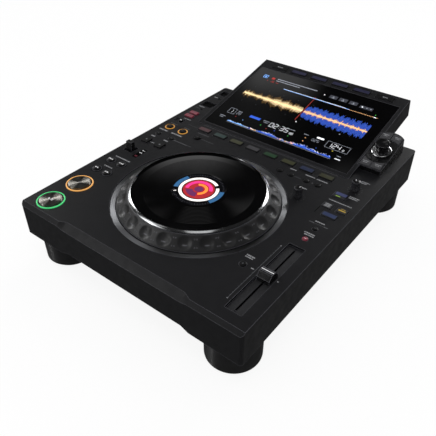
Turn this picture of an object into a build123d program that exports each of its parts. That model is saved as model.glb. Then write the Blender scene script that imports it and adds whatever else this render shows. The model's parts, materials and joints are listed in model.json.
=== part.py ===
from build123d import *
import os
from math import cos, radians, sin

os.makedirs("parts", exist_ok=True)

# A tabletop DJ player: a low box with a jog wheel, a tilted display and columns of controls.
# Millimetres. +X is to the operator's right, +Y away from the operator, +Z up.
# The origin is on the table, under the middle of the whole player.
# Distances called "behind the front" run from the front wall along +Y.

# Case
case_width = 329.0
case_depth = 405.7
deck_z = 84.0
wall_foot_z = 38.0
wall = 3.0
deck_thickness = 3.0
case_corner = 4.0
front_chamfer = 4.5
brow_half_width = 88.0
brow_run = 10.0
brow_setback = 9.0
brow_drop = 6.5
brow_lift = 4.5
brow_brace = 7.0
corner_brace = 2.5

# Tilted display unit, which overhangs the case at the rear
display_front = 285.4
display_length = 183.9
display_thickness = 28.3
display_side_room = 41.1
display_tilt = radians(12.7)
display_lip = 0.6
display_side_wall = 6.5
display_skin = 2.7
display_rear_wall = 3.0
display_edge = 1.5
glass_side_margin = 6.1
glass_start = 6.5
glass_end_margin = 23.0
glass_thickness = 1.2
fit_gap = 0.15
lcd_side_margin = 13.6
lcd_start = 20.3
lcd_end_margin = 13.2
lcd_thickness = 5.5
lcd_gap = 0.3
lcd_frame = 2.0
deck_window_margin = 18.0

# Jog wheel
jog_distance = 137.6
well_share = 0.25
well_extra = 24.65
well_wall = 2.5
well_floor_depth = 21.5
well_port_radius = 14.0
bezel_gap = 0.3
bezel_width = 6.4
bezel_skirt = 2.2
bezel_recess = 0.8
bezel_thickness = 2.0
dial_gap = 7.5
dial_skirt_drop = 3.5
dial_shoulder = 0.6
dial_web = 3.0
grip_width = 15.3
rim_width = 2.5
rim_height = 13.6
rim_seat_depth = 3.6
plate_thickness = 3.0
plate_recess = 0.6
plate_gap = 0.2
web_air = 3.0
shelf_width = 14.0
bearing_radius = 28.0
bearing_clearance = 0.05
sleeve_wall = 3.5
sleeve_gap = 0.3
hub_flange_radius = 40.0
hub_flange_thickness = 3.0
hub_bore_radius = 10.0
readout_radius = 32.4
readout_thickness = 5.4
readout_gap = 0.4
dimple_count = 24
dimple_sphere = 14.0
dimple_depth = 2.4

# Keys and what they share
key_gap = 0.35
flange_gap = 0.2
flange_thickness = 1.2
flange_lip = 1.2
key_edge = 0.4
board_drop = 4.0
board_thickness = 1.6

# Feet and lower case
foot_radius = 31.7
foot_side_inset = 34.2
foot_front_inset = 34.5
foot_rear_inset = 30.7
pad_radius = 28.0
pad_thickness = 3.0
foot_gap = 0.3
lower_flange = 3.0
lower_gap = 0.2
tray_top_inset = 14.0
tray_foot_inset = 30.0
tray_z = 16.0
tray_floor = 3.0
tray_web = 8.0
tray_end_wall = 4.0

# Case screws
screw_inset = 7.4
boss_radius = 4.5
screw_radius = 1.45
screw_pilot_radius = 1.5
screw_hole_radius = 1.7
screw_head_radius = 3.0
screw_head_height = 2.0
screw_length = 12.0
screw_side_distance = 185.5

# Where the columns of controls stand, from the nearer side wall
left_outer = 17.5
left_key_inset = 18.5
left_middle = 36.3
left_inner = 42.3
transport_inset = 27.2
reloop_inset = 70.0
right_outer = 23.5
tempo_inset = 24.5
reset_inset = 54.9
second_knob_inset = 72.5
mode_key_inset = 32.0
sync_inset = 34.5
master_inset = 15.5

# Where the rows of controls stand, behind the front. In the side columns they spread
# with the case, and these are their places in a case as deep as rows_depth.
rows_depth = 405.7
play_row = 24.6
cue_row = 69.2
search_row = 106.3
track_row = 131.8
lever_row = 168.3
jump_row = 199.3
loop_length_row = 223.6
loop_row = 248.3
slip_row = 272.7
quantize_row = 291.3
time_row = 302.8
second_stop_row = 321.0
first_stop_row = 366.2
hot_cue_row = 271.5
memory_gap = 4.7
tempo_row = 76.3
master_tempo_row = 150.5
tempo_range_row = 172.0
key_row = 203.3
second_knob_row = 213.3
sync_row = 219.3
mode_key_row = 246.3
first_knob_row = 268.3

# Sizes of the controls
disc_radius = 13.8
ring_inner_radius = 14.2
ring_outer_radius = 17.1
ring_rise = 1.2
disc_rise = 2.6
ring_lip = 1.5
ring_flange = 1.2
loop_radius = 5.5
loop_ring_inner = 5.9
loop_ring_outer = 7.2
loop_rise = 2.0
search_radius = 5.5
search_rise = 2.2
collar_inner_radius = 5.9
collar_outer_radius = 6.9
collar_rise = 0.6
small_radius = 4.5
reloop_radius = 5.0
slip_radius = 3.5
stop_radius = 2.5
memory_radius = 3.6
tempo_key_radius = 3.3
reset_radius = 4.1
low_rise = 1.2
slip_recess_width = 17.0
slip_recess_length = 11.0
slip_recess_depth = 1.5
slip_recess_inset = 15.0
slip_recess_row = 271.8
left_key_width = 14.5
left_key_length = 7.0
jump_size = 12.5
square_rise = 2.0
hot_cue_pitch_share = 0.2308
hot_cue_width = 20.5
hot_cue_length = 10.0
hot_cue_rise = 1.5
hot_cue_count = 8
mode_key_width = 17.0
mode_key_length = 12.0
sync_width = 12.5
sync_length = 11.0
master_width = 13.0
master_length = 10.0
key_key_width = 19.0
key_key_length = 8.5
key_corner = 0.8
memory_offsets = (43.8, 60.8, 83.2, 99.7)

# Knobs
knob_radius = 6.0
knob_height = 13.5
knob_lift = 0.4
knob_shaft_radius = 3.0
knob_shaft_gap = 0.3
knob_flange_radius = 5.0

# Tempo fader
fader_recess_width = 20.0
fader_recess_depth = 3.0
fader_floor = 2.0
fader_margin = 1.0
fader_travel = 98.0
fader_cap_width = 16.0
fader_cap_length = 16.6
fader_cap_top = 8.3
fader_ridge_length = 7.0
fader_cap_waist = 3.4
fader_lift = 0.3
fader_stem_width = 1.6
fader_stem_length = 8.0
fader_slot_gap = 0.5
fader_foot_width = 10.0
fader_foot_length = 14.0
fader_foot_height = 3.2
pan_wall = 2.0

# Direction lever
lever_recess = 15.0
lever_recess_depth = 3.0
lever_floor = 2.5
lever_width = 10.0
lever_length = 8.0
lever_top = 12.2
lever_taper = 2.0
lever_lift = 1.3
lever_stem_width = 5.0
lever_stem_length = 4.0
lever_slot_width = 6.0
lever_slot_length = 9.0
lever_axle_radius = 1.5
lever_axle_length = 12.0

# Ports for storage sticks and cards
first_port_inset = 13.85
first_port_row = 385.2
first_port_width = 13.3
first_port_length = 17.2
second_port_inset = 17.15
second_port_row = 339.5
second_port_width = 21.3
second_port_length = 16.8
port_recess_depth = 2.0
port_depth = 16.0
stick_slot_width = 12.4
stick_slot_length = 5.2
stick_slot_offset = 4.4
card_slot_width = 19.0
card_slot_length = 3.0
card_slot_offset = 4.4

# Keys along the display's top edge
menu_end_margin = 12.5
menu_width = 28.0
menu_length = 9.5
menu_rise = 1.0
menu_shares = (-0.762, -0.46, -0.155, 0.152, 0.457, 0.767)

# Selector pod beside the display
pod_overlap = 3.5
pod_width = 32.0
pod_start = 30.0
pod_end = 107.0
pod_sag = 7.0
pod_wall = 1.2
pod_skin = 4.5
selector_offset = 15.9
selector_row = 66.8
dish_radius = 22.0
dish_depth = 2.4
pod_key_arc = 24.3
pod_key_margin = 2.0
pod_key_split = 0.7
pod_key_rise = 0.8
pod_key_lip = 0.5
pod_key_reach = 20.0
selector_skirt_radius = 13.0
selector_skirt_height = 2.0
selector_skirt_lift = 1.0
selector_radius = 10.0
selector_height = 13.0
selector_shaft_gap = 0.3

# Rear panel
panel_half_width = 104.0
panel_z = 46.0
panel_height = 28.0
panel_lip = 4.0
panel_thickness = 2.0
inlet_x = 60.0
inlet_width = 27.0
inlet_height = 19.0
inlet_depth = 20.0
inlet_pocket_width = 22.0
inlet_pocket_height = 14.0
inlet_pocket_depth = 16.0
inlet_flange = 2.0
blade_length = 7.0
blade_width = 4.0
blade_thickness = 2.0
blade_pitch = 7.0
blade_drop = 3.0
power_x = 88.0
power_width = 12.0
power_height = 8.0
power_rise = 3.0
power_lip = 1.5
jack_offsets = (-62.0, -44.0)
jack_radius = 4.1
jack_bore_radius = 1.6
jack_length = 8.0
network_x = -84.0
network_size = 12.0
network_depth = 12.0
network_wall = 2.0

# Boards and power supply inside
board_side_gap = 3.5
board_front_distance = 14.0
board_rear_distance = 290.0
board_well_gap = 2.0
port_board_width = 47.0
board_post_radius = 2.5
left_posts = ((48.5, 45.0), (6.5, 46.9), (6.5, 118.0), (6.5, 312.0), (49.0, 275.0))
right_posts = ((6.5, 160.0), (6.5, 250.0), (52.0, 45.0))
fader_clear_width = 37.0
main_board_side_gap = 4.3
main_board_supply_gap = 10.0
main_board_front_gap = 56.0
main_board_rear_gap = 26.7
main_board_rise = 7.0
main_post_radius = 3.0
main_post_inset = 6.0
supply_side_gap = 4.3
supply_rear_gap = 16.7
supply_width = 56.0
supply_length = 120.0
supply_height = 26.0

# Values worked out from those above
overhang = display_length * cos(display_tilt) + display_thickness * sin(display_tilt)
front_y = -(display_front + overhang) / 2
rear_y = front_y + case_depth
case_mid_y = (front_y + rear_y) / 2
row_spread = case_depth / rows_depth
display_half_width = case_width / 2 - display_side_room
glass_half_width = display_half_width - glass_side_margin
lcd_half_width = glass_half_width - lcd_side_margin
glass_end = display_length - glass_end_margin
lcd_end = glass_end - lcd_end_margin
menu_row = display_length - menu_end_margin
pod_inner = display_half_width - pod_overlap
hot_cue_pitch = hot_cue_pitch_share * display_half_width
well_radius = well_share * case_width + well_extra
dial_radius = well_radius - dial_gap
grip_inner_radius = dial_radius - grip_width
memory_row = jog_distance + well_radius + memory_gap
display_y = front_y + display_front
deck_under = deck_z - deck_thickness
flange_top = deck_under - flange_gap
flange_z = flange_top - flange_thickness
board_top = deck_under - board_drop
jog_y = front_y + jog_distance
well_floor_z = deck_z - well_floor_depth
hub_seat_z = well_floor_z + hub_flange_thickness
rim_top_z = deck_z + rim_height
rim_seat_z = rim_top_z - rim_seat_depth
plate_seat_z = rim_top_z - plate_recess - plate_thickness
web_top_z = plate_seat_z - web_air
plate_radius = grip_inner_radius - rim_width - plate_gap
readout_seat_z = rim_top_z - plate_recess - readout_thickness
lower_flange_z = wall_foot_z + lower_flange
panel_outer_y = rear_y - wall
panel_mid_z = panel_z + panel_height / 2
jog_plane = Plane(origin=(0, jog_y, 0))
jog_side = Plane(origin=(0, jog_y, 0), x_dir=(1, 0, 0), z_dir=(0, -1, 0))
screen_plane = Plane(
    origin=(0, display_y, deck_z + display_lip),
    x_dir=(1, 0, 0),
    z_dir=(0, -sin(display_tilt), cos(display_tilt)),
)
rear_plane = Plane(origin=(0, panel_outer_y, 0), x_dir=(-1, 0, 0), z_dir=(0, 1, 0))


def from_left(inset, distance):
    return (-case_width / 2 + inset, front_y + distance * row_spread)


def from_right(inset, distance):
    return (case_width / 2 - inset, front_y + distance * row_spread)


def from_middle(offset, distance):
    return (offset, front_y + distance)


def on_slope(distance, depth):
    # A point of the display's side view: so far up its slope, so far below its top face.
    y = display_y + distance * cos(display_tilt) + depth * sin(display_tilt)
    z = deck_z + display_lip + distance * sin(display_tilt) - depth * cos(display_tilt)
    return (y, z)


def save(piece, name):
    piece.part.label = name
    export_step(piece.part, f"parts/{name}.step")


# Places of the controls
play_place = from_left(transport_inset, play_row)
cue_place = from_left(transport_inset, cue_row)
loop_in_place = from_left(left_outer, loop_row)
loop_out_place = from_left(left_inner, loop_row)
search_places = [from_left(left_outer, search_row), from_left(left_middle, search_row)]
track_places = [from_left(left_outer, track_row), from_left(left_middle, track_row)]
jump_places = [from_left(left_outer, jump_row), from_left(left_inner, jump_row)]
loop_length_places = [
    from_left(left_outer, loop_length_row),
    from_left(left_inner, loop_length_row),
]
stop_places = [from_left(left_outer, second_stop_row), from_left(left_outer, first_stop_row)]
hot_cue_places = [
    from_middle((index - (hot_cue_count - 1) / 2) * hot_cue_pitch, hot_cue_row)
    for index in range(hot_cue_count)
]
memory_places = [from_middle(offset, memory_row) for offset in memory_offsets]
lever_place = from_left(left_outer, lever_row)
fader_place = from_right(tempo_inset, tempo_row)
slip_recess_place = from_left(slip_recess_inset, slip_recess_row)
first_port_place = from_left(first_port_inset, first_port_row)
second_port_place = from_left(second_port_inset, second_port_row)
stick_slot_place = (first_port_place[0], first_port_place[1] - stick_slot_offset)
card_slot_place = (second_port_place[0], second_port_place[1] - card_slot_offset)
knob_places = {
    "vinyl_speed_knob": from_right(right_outer, first_knob_row),
    "jog_adjust_knob": from_middle(case_width / 2 - second_knob_inset, second_knob_row),
}
case_side = case_width / 2 - screw_inset
case_corner_rows = (front_y + screw_inset, rear_y - screw_inset)
screw_places = [(side * case_side, row) for side in (-1, 1) for row in case_corner_rows]
screw_places += [
    from_left(screw_inset, screw_side_distance),
    from_right(screw_inset, screw_side_distance),
]
screw_places += [(0, front_y + screw_inset)]
foot_rows = (front_y + foot_front_inset, rear_y - foot_rear_inset)
foot_side = case_width / 2 - foot_side_inset
foot_places = [(side * foot_side, row) for side in (-1, 1) for row in foot_rows]
board_post_places = [from_left(*post) for post in left_posts]
board_post_places += [from_right(*post) for post in right_posts]

# Round keys: name, places, radius, height above the deck
round_keys = [
    ("search_back_button", search_places[:1], search_radius, search_rise),
    ("search_forward_button", search_places[1:], search_radius, search_rise),
    ("track_back_button", track_places[:1], search_radius, search_rise),
    ("track_forward_button", track_places[1:], search_radius, search_rise),
    ("loop_length_buttons", loop_length_places, small_radius, low_rise),
    (
        "reloop_button",
        [from_middle(reloop_inset - case_width / 2, loop_row)],
        reloop_radius,
        square_rise,
    ),
    ("slip_button", [from_left(left_outer, slip_row)], slip_radius, low_rise),
    ("port_stop_buttons", stop_places, stop_radius, low_rise),
    ("memory_buttons", memory_places, memory_radius, low_rise),
    ("tempo_range_button", [from_right(tempo_inset, tempo_range_row)], tempo_key_radius, low_rise),
    ("master_tempo_button", [from_right(tempo_inset, master_tempo_row)], tempo_key_radius, low_rise),
    (
        "tempo_reset_button",
        [from_middle(case_width / 2 - reset_inset, tempo_row)],
        reset_radius,
        low_rise,
    ),
]

# Square keys: name, places, width, length, height above the deck
square_keys = [
    (
        "quantize_button",
        [from_left(left_key_inset, quantize_row)],
        left_key_width,
        left_key_length,
        square_rise,
    ),
    (
        "time_button",
        [from_left(left_key_inset, time_row)],
        left_key_width,
        left_key_length,
        square_rise,
    ),
    ("jump_buttons", jump_places, jump_size, jump_size, square_rise),
    (
        "jog_mode_button",
        [from_right(mode_key_inset, mode_key_row)],
        mode_key_width,
        mode_key_length,
        low_rise,
    ),
    ("sync_button", [from_right(sync_inset, sync_row)], sync_width, sync_length, low_rise),
    ("master_button", [from_right(master_inset, sync_row)], master_width, master_length, low_rise),
    ("key_button", [from_right(right_outer, key_row)], key_key_width, key_key_length, low_rise),
]
for letter, place in zip("abcdefgh", hot_cue_places):
    square_keys.append(
        (f"hot_cue_{letter}", [place], hot_cue_width, hot_cue_length, hot_cue_rise)
    )

# Keys inside a glowing ring: name, place, cap radius, ring bore, ring outside, cap height
ringed_keys = [
    ("play_button", play_place, disc_radius, ring_inner_radius, ring_outer_radius, disc_rise),
    ("cue_button", cue_place, disc_radius, ring_inner_radius, ring_outer_radius, disc_rise),
    ("loop_in_button", loop_in_place, loop_radius, loop_ring_inner, loop_ring_outer, loop_rise),
    ("loop_out_button", loop_out_place, loop_radius, loop_ring_inner, loop_ring_outer, loop_rise),
]


def front_wedge(setback, drop):
    # Triangle that bevels the front top edge, in the side view.
    Polygon(
        (front_y, deck_z),
        (front_y + setback, deck_z),
        (front_y, deck_z - drop),
        align=None,
    )


# ---- Upper case: one moulding with the deck, the four walls and the jog well ----
with BuildPart() as upper_case:
    with BuildSketch(Plane.XY.offset(wall_foot_z)):
        with Locations((0, case_mid_y)):
            RectangleRounded(case_width, case_depth, case_corner)
    extrude(amount=deck_z - wall_foot_z)
    with BuildSketch(Plane.XY.offset(wall_foot_z)):
        with Locations((0, case_mid_y)):
            Rectangle(case_width - 2 * wall, case_depth - 2 * wall)
    extrude(amount=deck_under - wall_foot_z, mode=Mode.SUBTRACT)
    # Braces inside the front edge, behind the bevel, the larger one behind the brow
    for half_width, size in (
        (case_width / 2 - wall, corner_brace),
        (brow_half_width + brow_run, brow_brace),
    ):
        with BuildSketch(Plane.YZ):
            Polygon(
                (front_y + wall, deck_under),
                (front_y + wall, deck_under - size),
                (front_y + wall + size, deck_under),
                align=None,
            )
        extrude(amount=half_width, both=True)
    # Screw bosses and the posts that carry the control board
    with BuildSketch(Plane.XY.offset(lower_flange_z)):
        with Locations(*screw_places):
            Circle(boss_radius)
    extrude(amount=deck_z - lower_flange_z)
    with BuildSketch(Plane.XY.offset(board_top)):
        with Locations(*board_post_places):
            Circle(board_post_radius)
    extrude(amount=deck_z - board_top)
    # Jog well
    with BuildSketch(Plane.XY.offset(well_floor_z - well_wall)):
        with Locations((0, jog_y)):
            Circle(well_radius + well_wall)
    extrude(amount=deck_z - well_floor_z + well_wall)
    with BuildSketch(Plane.XY.offset(well_floor_z)):
        with Locations((0, jog_y)):
            Circle(well_radius)
    extrude(amount=deck_z - well_floor_z, mode=Mode.SUBTRACT)
    with BuildSketch(Plane.XY.offset(well_floor_z - well_wall)):
        with Locations((0, jog_y)):
            Circle(well_port_radius)
    extrude(amount=well_wall, mode=Mode.SUBTRACT)
    # Pans under the fader, the lever and the two ports
    with BuildSketch(Plane.XY.offset(deck_z - fader_recess_depth - fader_floor)):
        with Locations(fader_place):
            Rectangle(
                fader_recess_width + 2 * pan_wall,
                fader_travel + fader_cap_length + 2 * fader_margin + 2 * pan_wall,
            )
    extrude(amount=fader_recess_depth + fader_floor)
    with BuildSketch(Plane.XY.offset(deck_z - lever_recess_depth - lever_floor)):
        with Locations(lever_place):
            Rectangle(lever_recess + 2 * pan_wall, lever_recess + 2 * pan_wall)
    extrude(amount=lever_recess_depth + lever_floor)
    with BuildSketch(Plane.XY.offset(deck_z - port_depth - pan_wall)):
        with Locations(first_port_place):
            Rectangle(first_port_width + 2 * pan_wall, first_port_length + 2 * pan_wall)
        with Locations(second_port_place):
            Rectangle(second_port_width + 2 * pan_wall, second_port_length + 2 * pan_wall)
    extrude(amount=port_depth + pan_wall)
    # Recesses in the deck
    with BuildSketch(Plane.XY.offset(deck_z - fader_recess_depth)):
        with Locations(fader_place):
            RectangleRounded(
                fader_recess_width,
                fader_travel + fader_cap_length + 2 * fader_margin,
                fader_margin,
            )
    extrude(amount=fader_recess_depth, mode=Mode.SUBTRACT)
    with BuildSketch(Plane.XY.offset(deck_z - lever_recess_depth)):
        with Locations(lever_place):
            RectangleRounded(lever_recess, lever_recess, key_corner)
    extrude(amount=lever_recess_depth, mode=Mode.SUBTRACT)
    with BuildSketch(Plane.XY.offset(deck_z - port_recess_depth)):
        with Locations(first_port_place):
            Rectangle(first_port_width, first_port_length)
        with Locations(second_port_place):
            Rectangle(second_port_width, second_port_length)
    extrude(amount=port_recess_depth, mode=Mode.SUBTRACT)
    with BuildSketch(Plane.XY.offset(deck_z - slip_recess_depth)):
        with Locations(slip_recess_place):
            Rectangle(slip_recess_width, slip_recess_length)
    extrude(amount=slip_recess_depth, mode=Mode.SUBTRACT)
    # Slots of the ports
    with BuildSketch(Plane.XY.offset(deck_z - port_depth)):
        with Locations(stick_slot_place):
            Rectangle(stick_slot_width, stick_slot_length)
        with Locations(card_slot_place):
            Rectangle(card_slot_width, card_slot_length)
    extrude(amount=port_depth, mode=Mode.SUBTRACT)
    # Slots of the fader and the lever
    with BuildSketch(Plane.XY.offset(deck_z - fader_recess_depth - fader_floor)):
        with Locations(fader_place):
            Rectangle(
                fader_stem_width + 2 * fader_slot_gap,
                fader_travel + fader_stem_length + 2 * fader_slot_gap,
            )
    extrude(amount=fader_floor, mode=Mode.SUBTRACT)
    with BuildSketch(Plane.XY.offset(deck_z - lever_recess_depth - lever_floor)):
        with Locations(lever_place):
            Rectangle(lever_slot_width, lever_slot_length)
    extrude(amount=lever_floor, mode=Mode.SUBTRACT)
    # Holes for the keys, the rings and the knobs
    with BuildSketch(Plane.XY.offset(deck_under)):
        for _, places, radius, _ in round_keys:
            with Locations(*places):
                Circle(radius + key_gap)
        for _, places, width, length, _ in square_keys:
            with Locations(*places):
                RectangleRounded(width + 2 * key_gap, length + 2 * key_gap, key_corner + key_gap)
        for _, place, _, _, outside, _ in ringed_keys:
            with Locations(place):
                Circle(outside + fit_gap)
        with Locations(*knob_places.values()):
            Circle(knob_shaft_radius + knob_shaft_gap)
    extrude(amount=deck_thickness, mode=Mode.SUBTRACT)
    # Raised collars round the search and track keys
    with BuildSketch(Plane.XY.offset(deck_z)):
        with Locations(*search_places, *track_places):
            Circle(collar_outer_radius)
            Circle(collar_inner_radius, mode=Mode.SUBTRACT)
    extrude(amount=collar_rise)
    # Window in the deck under the display
    with BuildSketch(Plane.XY.offset(deck_under)):
        with Locations((0, (display_y + rear_y) / 2)):
            Rectangle(
                2 * (lcd_half_width + lcd_gap + lcd_frame),
                rear_y - display_y - 2 * deck_window_margin,
            )
    extrude(amount=deck_thickness, mode=Mode.SUBTRACT)
    # Opening in the rear wall for the rear panel
    with BuildSketch(rear_plane):
        with Locations((0, panel_mid_z)):
            Rectangle(2 * panel_half_width, panel_height)
    extrude(amount=wall, mode=Mode.SUBTRACT)
    # Pilot holes of the case screws
    with BuildSketch(Plane.XY.offset(lower_flange_z)):
        with Locations(*screw_places):
            Circle(screw_pilot_radius)
    extrude(amount=screw_length, mode=Mode.SUBTRACT)
    # Bevel along the front edge, deeper across the middle
    with BuildSketch(Plane.YZ):
        front_wedge(front_chamfer, front_chamfer)
    extrude(amount=case_width / 2, both=True, mode=Mode.SUBTRACT)
    with BuildSketch(Plane.YZ):
        front_wedge(brow_setback, brow_drop)
    extrude(amount=brow_half_width, both=True, mode=Mode.SUBTRACT)
    for side in (-1, 1):
        with BuildSketch(Plane.YZ.offset(side * brow_half_width)):
            front_wedge(brow_setback, brow_drop)
        with BuildSketch(Plane.YZ.offset(side * (brow_half_width + brow_run))):
            front_wedge(front_chamfer, front_chamfer)
        loft(mode=Mode.SUBTRACT)
    # The front wall's lower edge rises across the middle
    with BuildSketch(Plane(origin=(0, front_y, 0), x_dir=(1, 0, 0), z_dir=(0, -1, 0))):
        with BuildLine():
            Polyline(
                (-brow_half_width - brow_run, wall_foot_z),
                (-brow_half_width, wall_foot_z + brow_lift),
                (brow_half_width, wall_foot_z + brow_lift),
                (brow_half_width + brow_run, wall_foot_z),
                close=True,
            )
        make_face()
    extrude(amount=-wall, mode=Mode.SUBTRACT)
save(upper_case, "upper_case")

# ---- Lower case: a flange inside the walls and a tapered tray between the feet ----
flange_width = case_width - 2 * (wall + lower_gap)
flange_depth = case_depth - 2 * (wall + lower_gap)
tray_inner = foot_side - foot_radius - foot_gap - tray_web
tray_outer = case_width / 2 - tray_foot_inset - tray_end_wall
side_pocket_front = foot_rows[0] + foot_radius + foot_gap + tray_floor
side_pocket_rear = foot_rows[1] - foot_radius - foot_gap - tray_floor
tray_front_y = front_y + tray_foot_inset + tray_end_wall
tray_rear_y = rear_y - tray_foot_inset - tray_end_wall
supply_left = tray_inner - supply_side_gap - supply_width
main_board_left = main_board_side_gap - tray_inner
main_board_right = supply_left - main_board_supply_gap
main_board_front = tray_front_y + main_board_front_gap
main_board_rear = tray_rear_y - main_board_rear_gap
main_board_width = main_board_right - main_board_left
main_board_length = main_board_rear - main_board_front
main_board_mid = (
    (main_board_left + main_board_right) / 2,
    (main_board_front + main_board_rear) / 2,
)
with BuildPart() as lower_case:
    with BuildSketch(Plane.XY.offset(wall_foot_z)):
        with Locations((0, case_mid_y)):
            Rectangle(flange_width, flange_depth)
    extrude(amount=lower_flange)
    with BuildSketch(Plane.XY.offset(tray_z)):
        with Locations((0, case_mid_y)):
            Rectangle(case_width - 2 * tray_foot_inset, case_depth - 2 * tray_foot_inset)
    with BuildSketch(Plane.XY.offset(wall_foot_z)):
        with Locations((0, case_mid_y)):
            Rectangle(case_width - 2 * tray_top_inset, case_depth - 2 * tray_top_inset)
    loft()
    # Room for the boards, open at the top
    with BuildSketch(Plane.XY.offset(tray_z + tray_floor)):
        with Locations((0, case_mid_y)):
            Rectangle(2 * tray_inner, case_depth - 2 * (tray_foot_inset + tray_end_wall))
        for side in (-1, 1):
            with Locations(
                (
                    side * (tray_inner + tray_end_wall + tray_outer) / 2,
                    (side_pocket_front + side_pocket_rear) / 2,
                )
            ):
                Rectangle(
                    tray_outer - tray_inner - tray_end_wall,
                    side_pocket_rear - side_pocket_front,
                )
    extrude(amount=lower_flange_z - tray_z - tray_floor, mode=Mode.SUBTRACT)
    # Pockets for the feet
    with BuildSketch(Plane.XY.offset(tray_z)):
        with Locations(*foot_places):
            Circle(foot_radius + foot_gap)
    extrude(amount=wall_foot_z - tray_z, mode=Mode.SUBTRACT)
    # Posts of the main board
    with BuildSketch(Plane.XY.offset(tray_z + tray_floor)):
        with Locations(main_board_mid):
            with GridLocations(
                main_board_width - 2 * main_post_inset,
                main_board_length - 2 * main_post_inset,
                2,
                2,
            ):
                Circle(main_post_radius)
    extrude(amount=main_board_rise)
    with BuildSketch(Plane.XY.offset(wall_foot_z)):
        with Locations(*screw_places):
            Circle(screw_hole_radius)
    extrude(amount=lower_flange, mode=Mode.SUBTRACT)
save(lower_case, "lower_case")

with BuildPart() as case_screws:
    with BuildSketch(Plane.XY.offset(wall_foot_z - screw_head_height)):
        with Locations(*screw_places):
            Circle(screw_head_radius)
    extrude(amount=screw_head_height)
    with BuildSketch(Plane.XY.offset(wall_foot_z)):
        with Locations(*screw_places):
            Circle(screw_radius)
    extrude(amount=screw_length)
save(case_screws, "case_screws")

# ---- Feet: four broad drums with rubber pads ----
with BuildPart() as feet:
    with BuildSketch(Plane.XY.offset(pad_thickness)):
        with Locations(*foot_places):
            Circle(foot_radius)
    extrude(amount=wall_foot_z - pad_thickness)
save(feet, "feet")

with BuildPart() as foot_pads:
    with BuildSketch():
        with Locations(*foot_places):
            Circle(pad_radius)
    extrude(amount=pad_thickness)
save(foot_pads, "foot_pads")

# ---- Display unit: a wedge on the deck with a glass front over the screen module ----
skin_start = lcd_start - lcd_gap - lcd_frame
bottom_run = (display_thickness * cos(display_tilt) - display_lip) / sin(display_tilt)
inner_depth = display_thickness - display_rear_wall
inner_run = (inner_depth * cos(display_tilt) - display_lip) / sin(display_tilt)
inner_end = display_length - display_rear_wall
glass_mid = (glass_start + glass_end) / 2
lcd_mid = (lcd_start + lcd_end) / 2
menu_places = [(share * glass_half_width, menu_row) for share in menu_shares]
pod_mid_x = pod_inner + selector_offset
pod_outer = pod_inner + pod_width
pod_middle = pod_inner + pod_width / 2
pod_arc_radius = ((pod_width / 2) ** 2 + pod_sag**2) / (2 * pod_sag)
pod_arc_row = pod_end - pod_arc_radius


def pod_outline(margin):
    # Plan of the pod on the display's slope, with a bowed rear edge, drawn in by a margin.
    with Locations((pod_middle, pod_arc_row)):
        Circle(pod_arc_radius - margin)
    with Locations((pod_middle, (pod_arc_row + pod_end - margin) / 2)):
        Rectangle(pod_width - 2 * margin, pod_end - margin - pod_arc_row, mode=Mode.INTERSECT)
    with Locations((pod_middle, (pod_start + margin + pod_arc_row) / 2)):
        Rectangle(pod_width - 2 * margin, pod_arc_row - pod_start - margin)


def pod_key_pair(row, grow):
    # Two keys of the pod, with hollow edges round the selector, each grown by a margin.
    width = pod_width / 2 - pod_key_margin - pod_key_split
    if row == "front":
        start = pod_start + pod_key_margin
    else:
        start = pod_arc_row
    for side in (-1, 1):
        key_x = pod_middle + side * (pod_key_split + width / 2)
        with Locations((key_x, start + pod_key_reach / 2)):
            Rectangle(width + 2 * grow, pod_key_reach + 2 * grow)
    if row == "rear":
        with Locations((pod_middle, pod_arc_row)):
            Circle(pod_arc_radius - pod_key_margin + grow, mode=Mode.INTERSECT)
    with Locations((pod_mid_x, selector_row)):
        Circle(pod_key_arc - grow, mode=Mode.SUBTRACT)


with BuildPart() as display_housing:
    with BuildSketch(Plane.YZ):
        with BuildLine():
            Polyline(
                (display_y, deck_z),
                on_slope(0, 0),
                on_slope(display_length, 0),
                on_slope(display_length, display_thickness),
                on_slope(bottom_run, display_thickness),
                close=True,
            )
        make_face()
    extrude(amount=display_half_width, both=True)
    chamfer(display_housing.edges().filter_by(Axis.X).sort_by(Axis.Z)[-1], display_edge)
    with BuildSketch(Plane.YZ):
        with BuildLine():
            Polyline(
                (on_slope(skin_start, display_skin)[0], deck_z),
                on_slope(skin_start, display_skin),
                on_slope(inner_end, display_skin),
                on_slope(inner_end, inner_depth),
                on_slope(inner_run, inner_depth),
                close=True,
            )
        make_face()
    extrude(amount=display_half_width - display_side_wall, both=True, mode=Mode.SUBTRACT)
    with BuildSketch(screen_plane.offset(-glass_thickness)):
        with Locations((0, glass_mid)):
            Rectangle(
                2 * (glass_half_width + fit_gap),
                glass_end - glass_start + 2 * fit_gap,
            )
    extrude(amount=glass_thickness, mode=Mode.SUBTRACT)
    with BuildSketch(screen_plane.offset(-display_skin)):
        with Locations((0, lcd_mid)):
            Rectangle(2 * (lcd_half_width + lcd_gap), lcd_end - lcd_start + 2 * lcd_gap)
        with Locations(*menu_places):
            RectangleRounded(
                menu_width + 2 * key_gap,
                menu_length + 2 * key_gap,
                key_corner + key_gap,
            )
    extrude(amount=display_skin, mode=Mode.SUBTRACT)
    # Notch that takes the selector pod
    with BuildSketch(screen_plane.offset(-display_thickness)):
        pod_outline(-fit_gap)
    extrude(amount=2 * display_thickness, mode=Mode.SUBTRACT)
save(display_housing, "display_housing")

with BuildPart() as display_glass:
    with BuildSketch(screen_plane.offset(-glass_thickness)):
        with Locations((0, glass_mid)):
            Rectangle(2 * glass_half_width, glass_end - glass_start)
    extrude(amount=glass_thickness)
save(display_glass, "display_glass")

with BuildPart() as lcd_module:
    with BuildSketch(screen_plane.offset(-glass_thickness - lcd_thickness)):
        with Locations((0, lcd_mid)):
            Rectangle(2 * lcd_half_width, lcd_end - lcd_start)
    extrude(amount=lcd_thickness)
save(lcd_module, "lcd_module")

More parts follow.
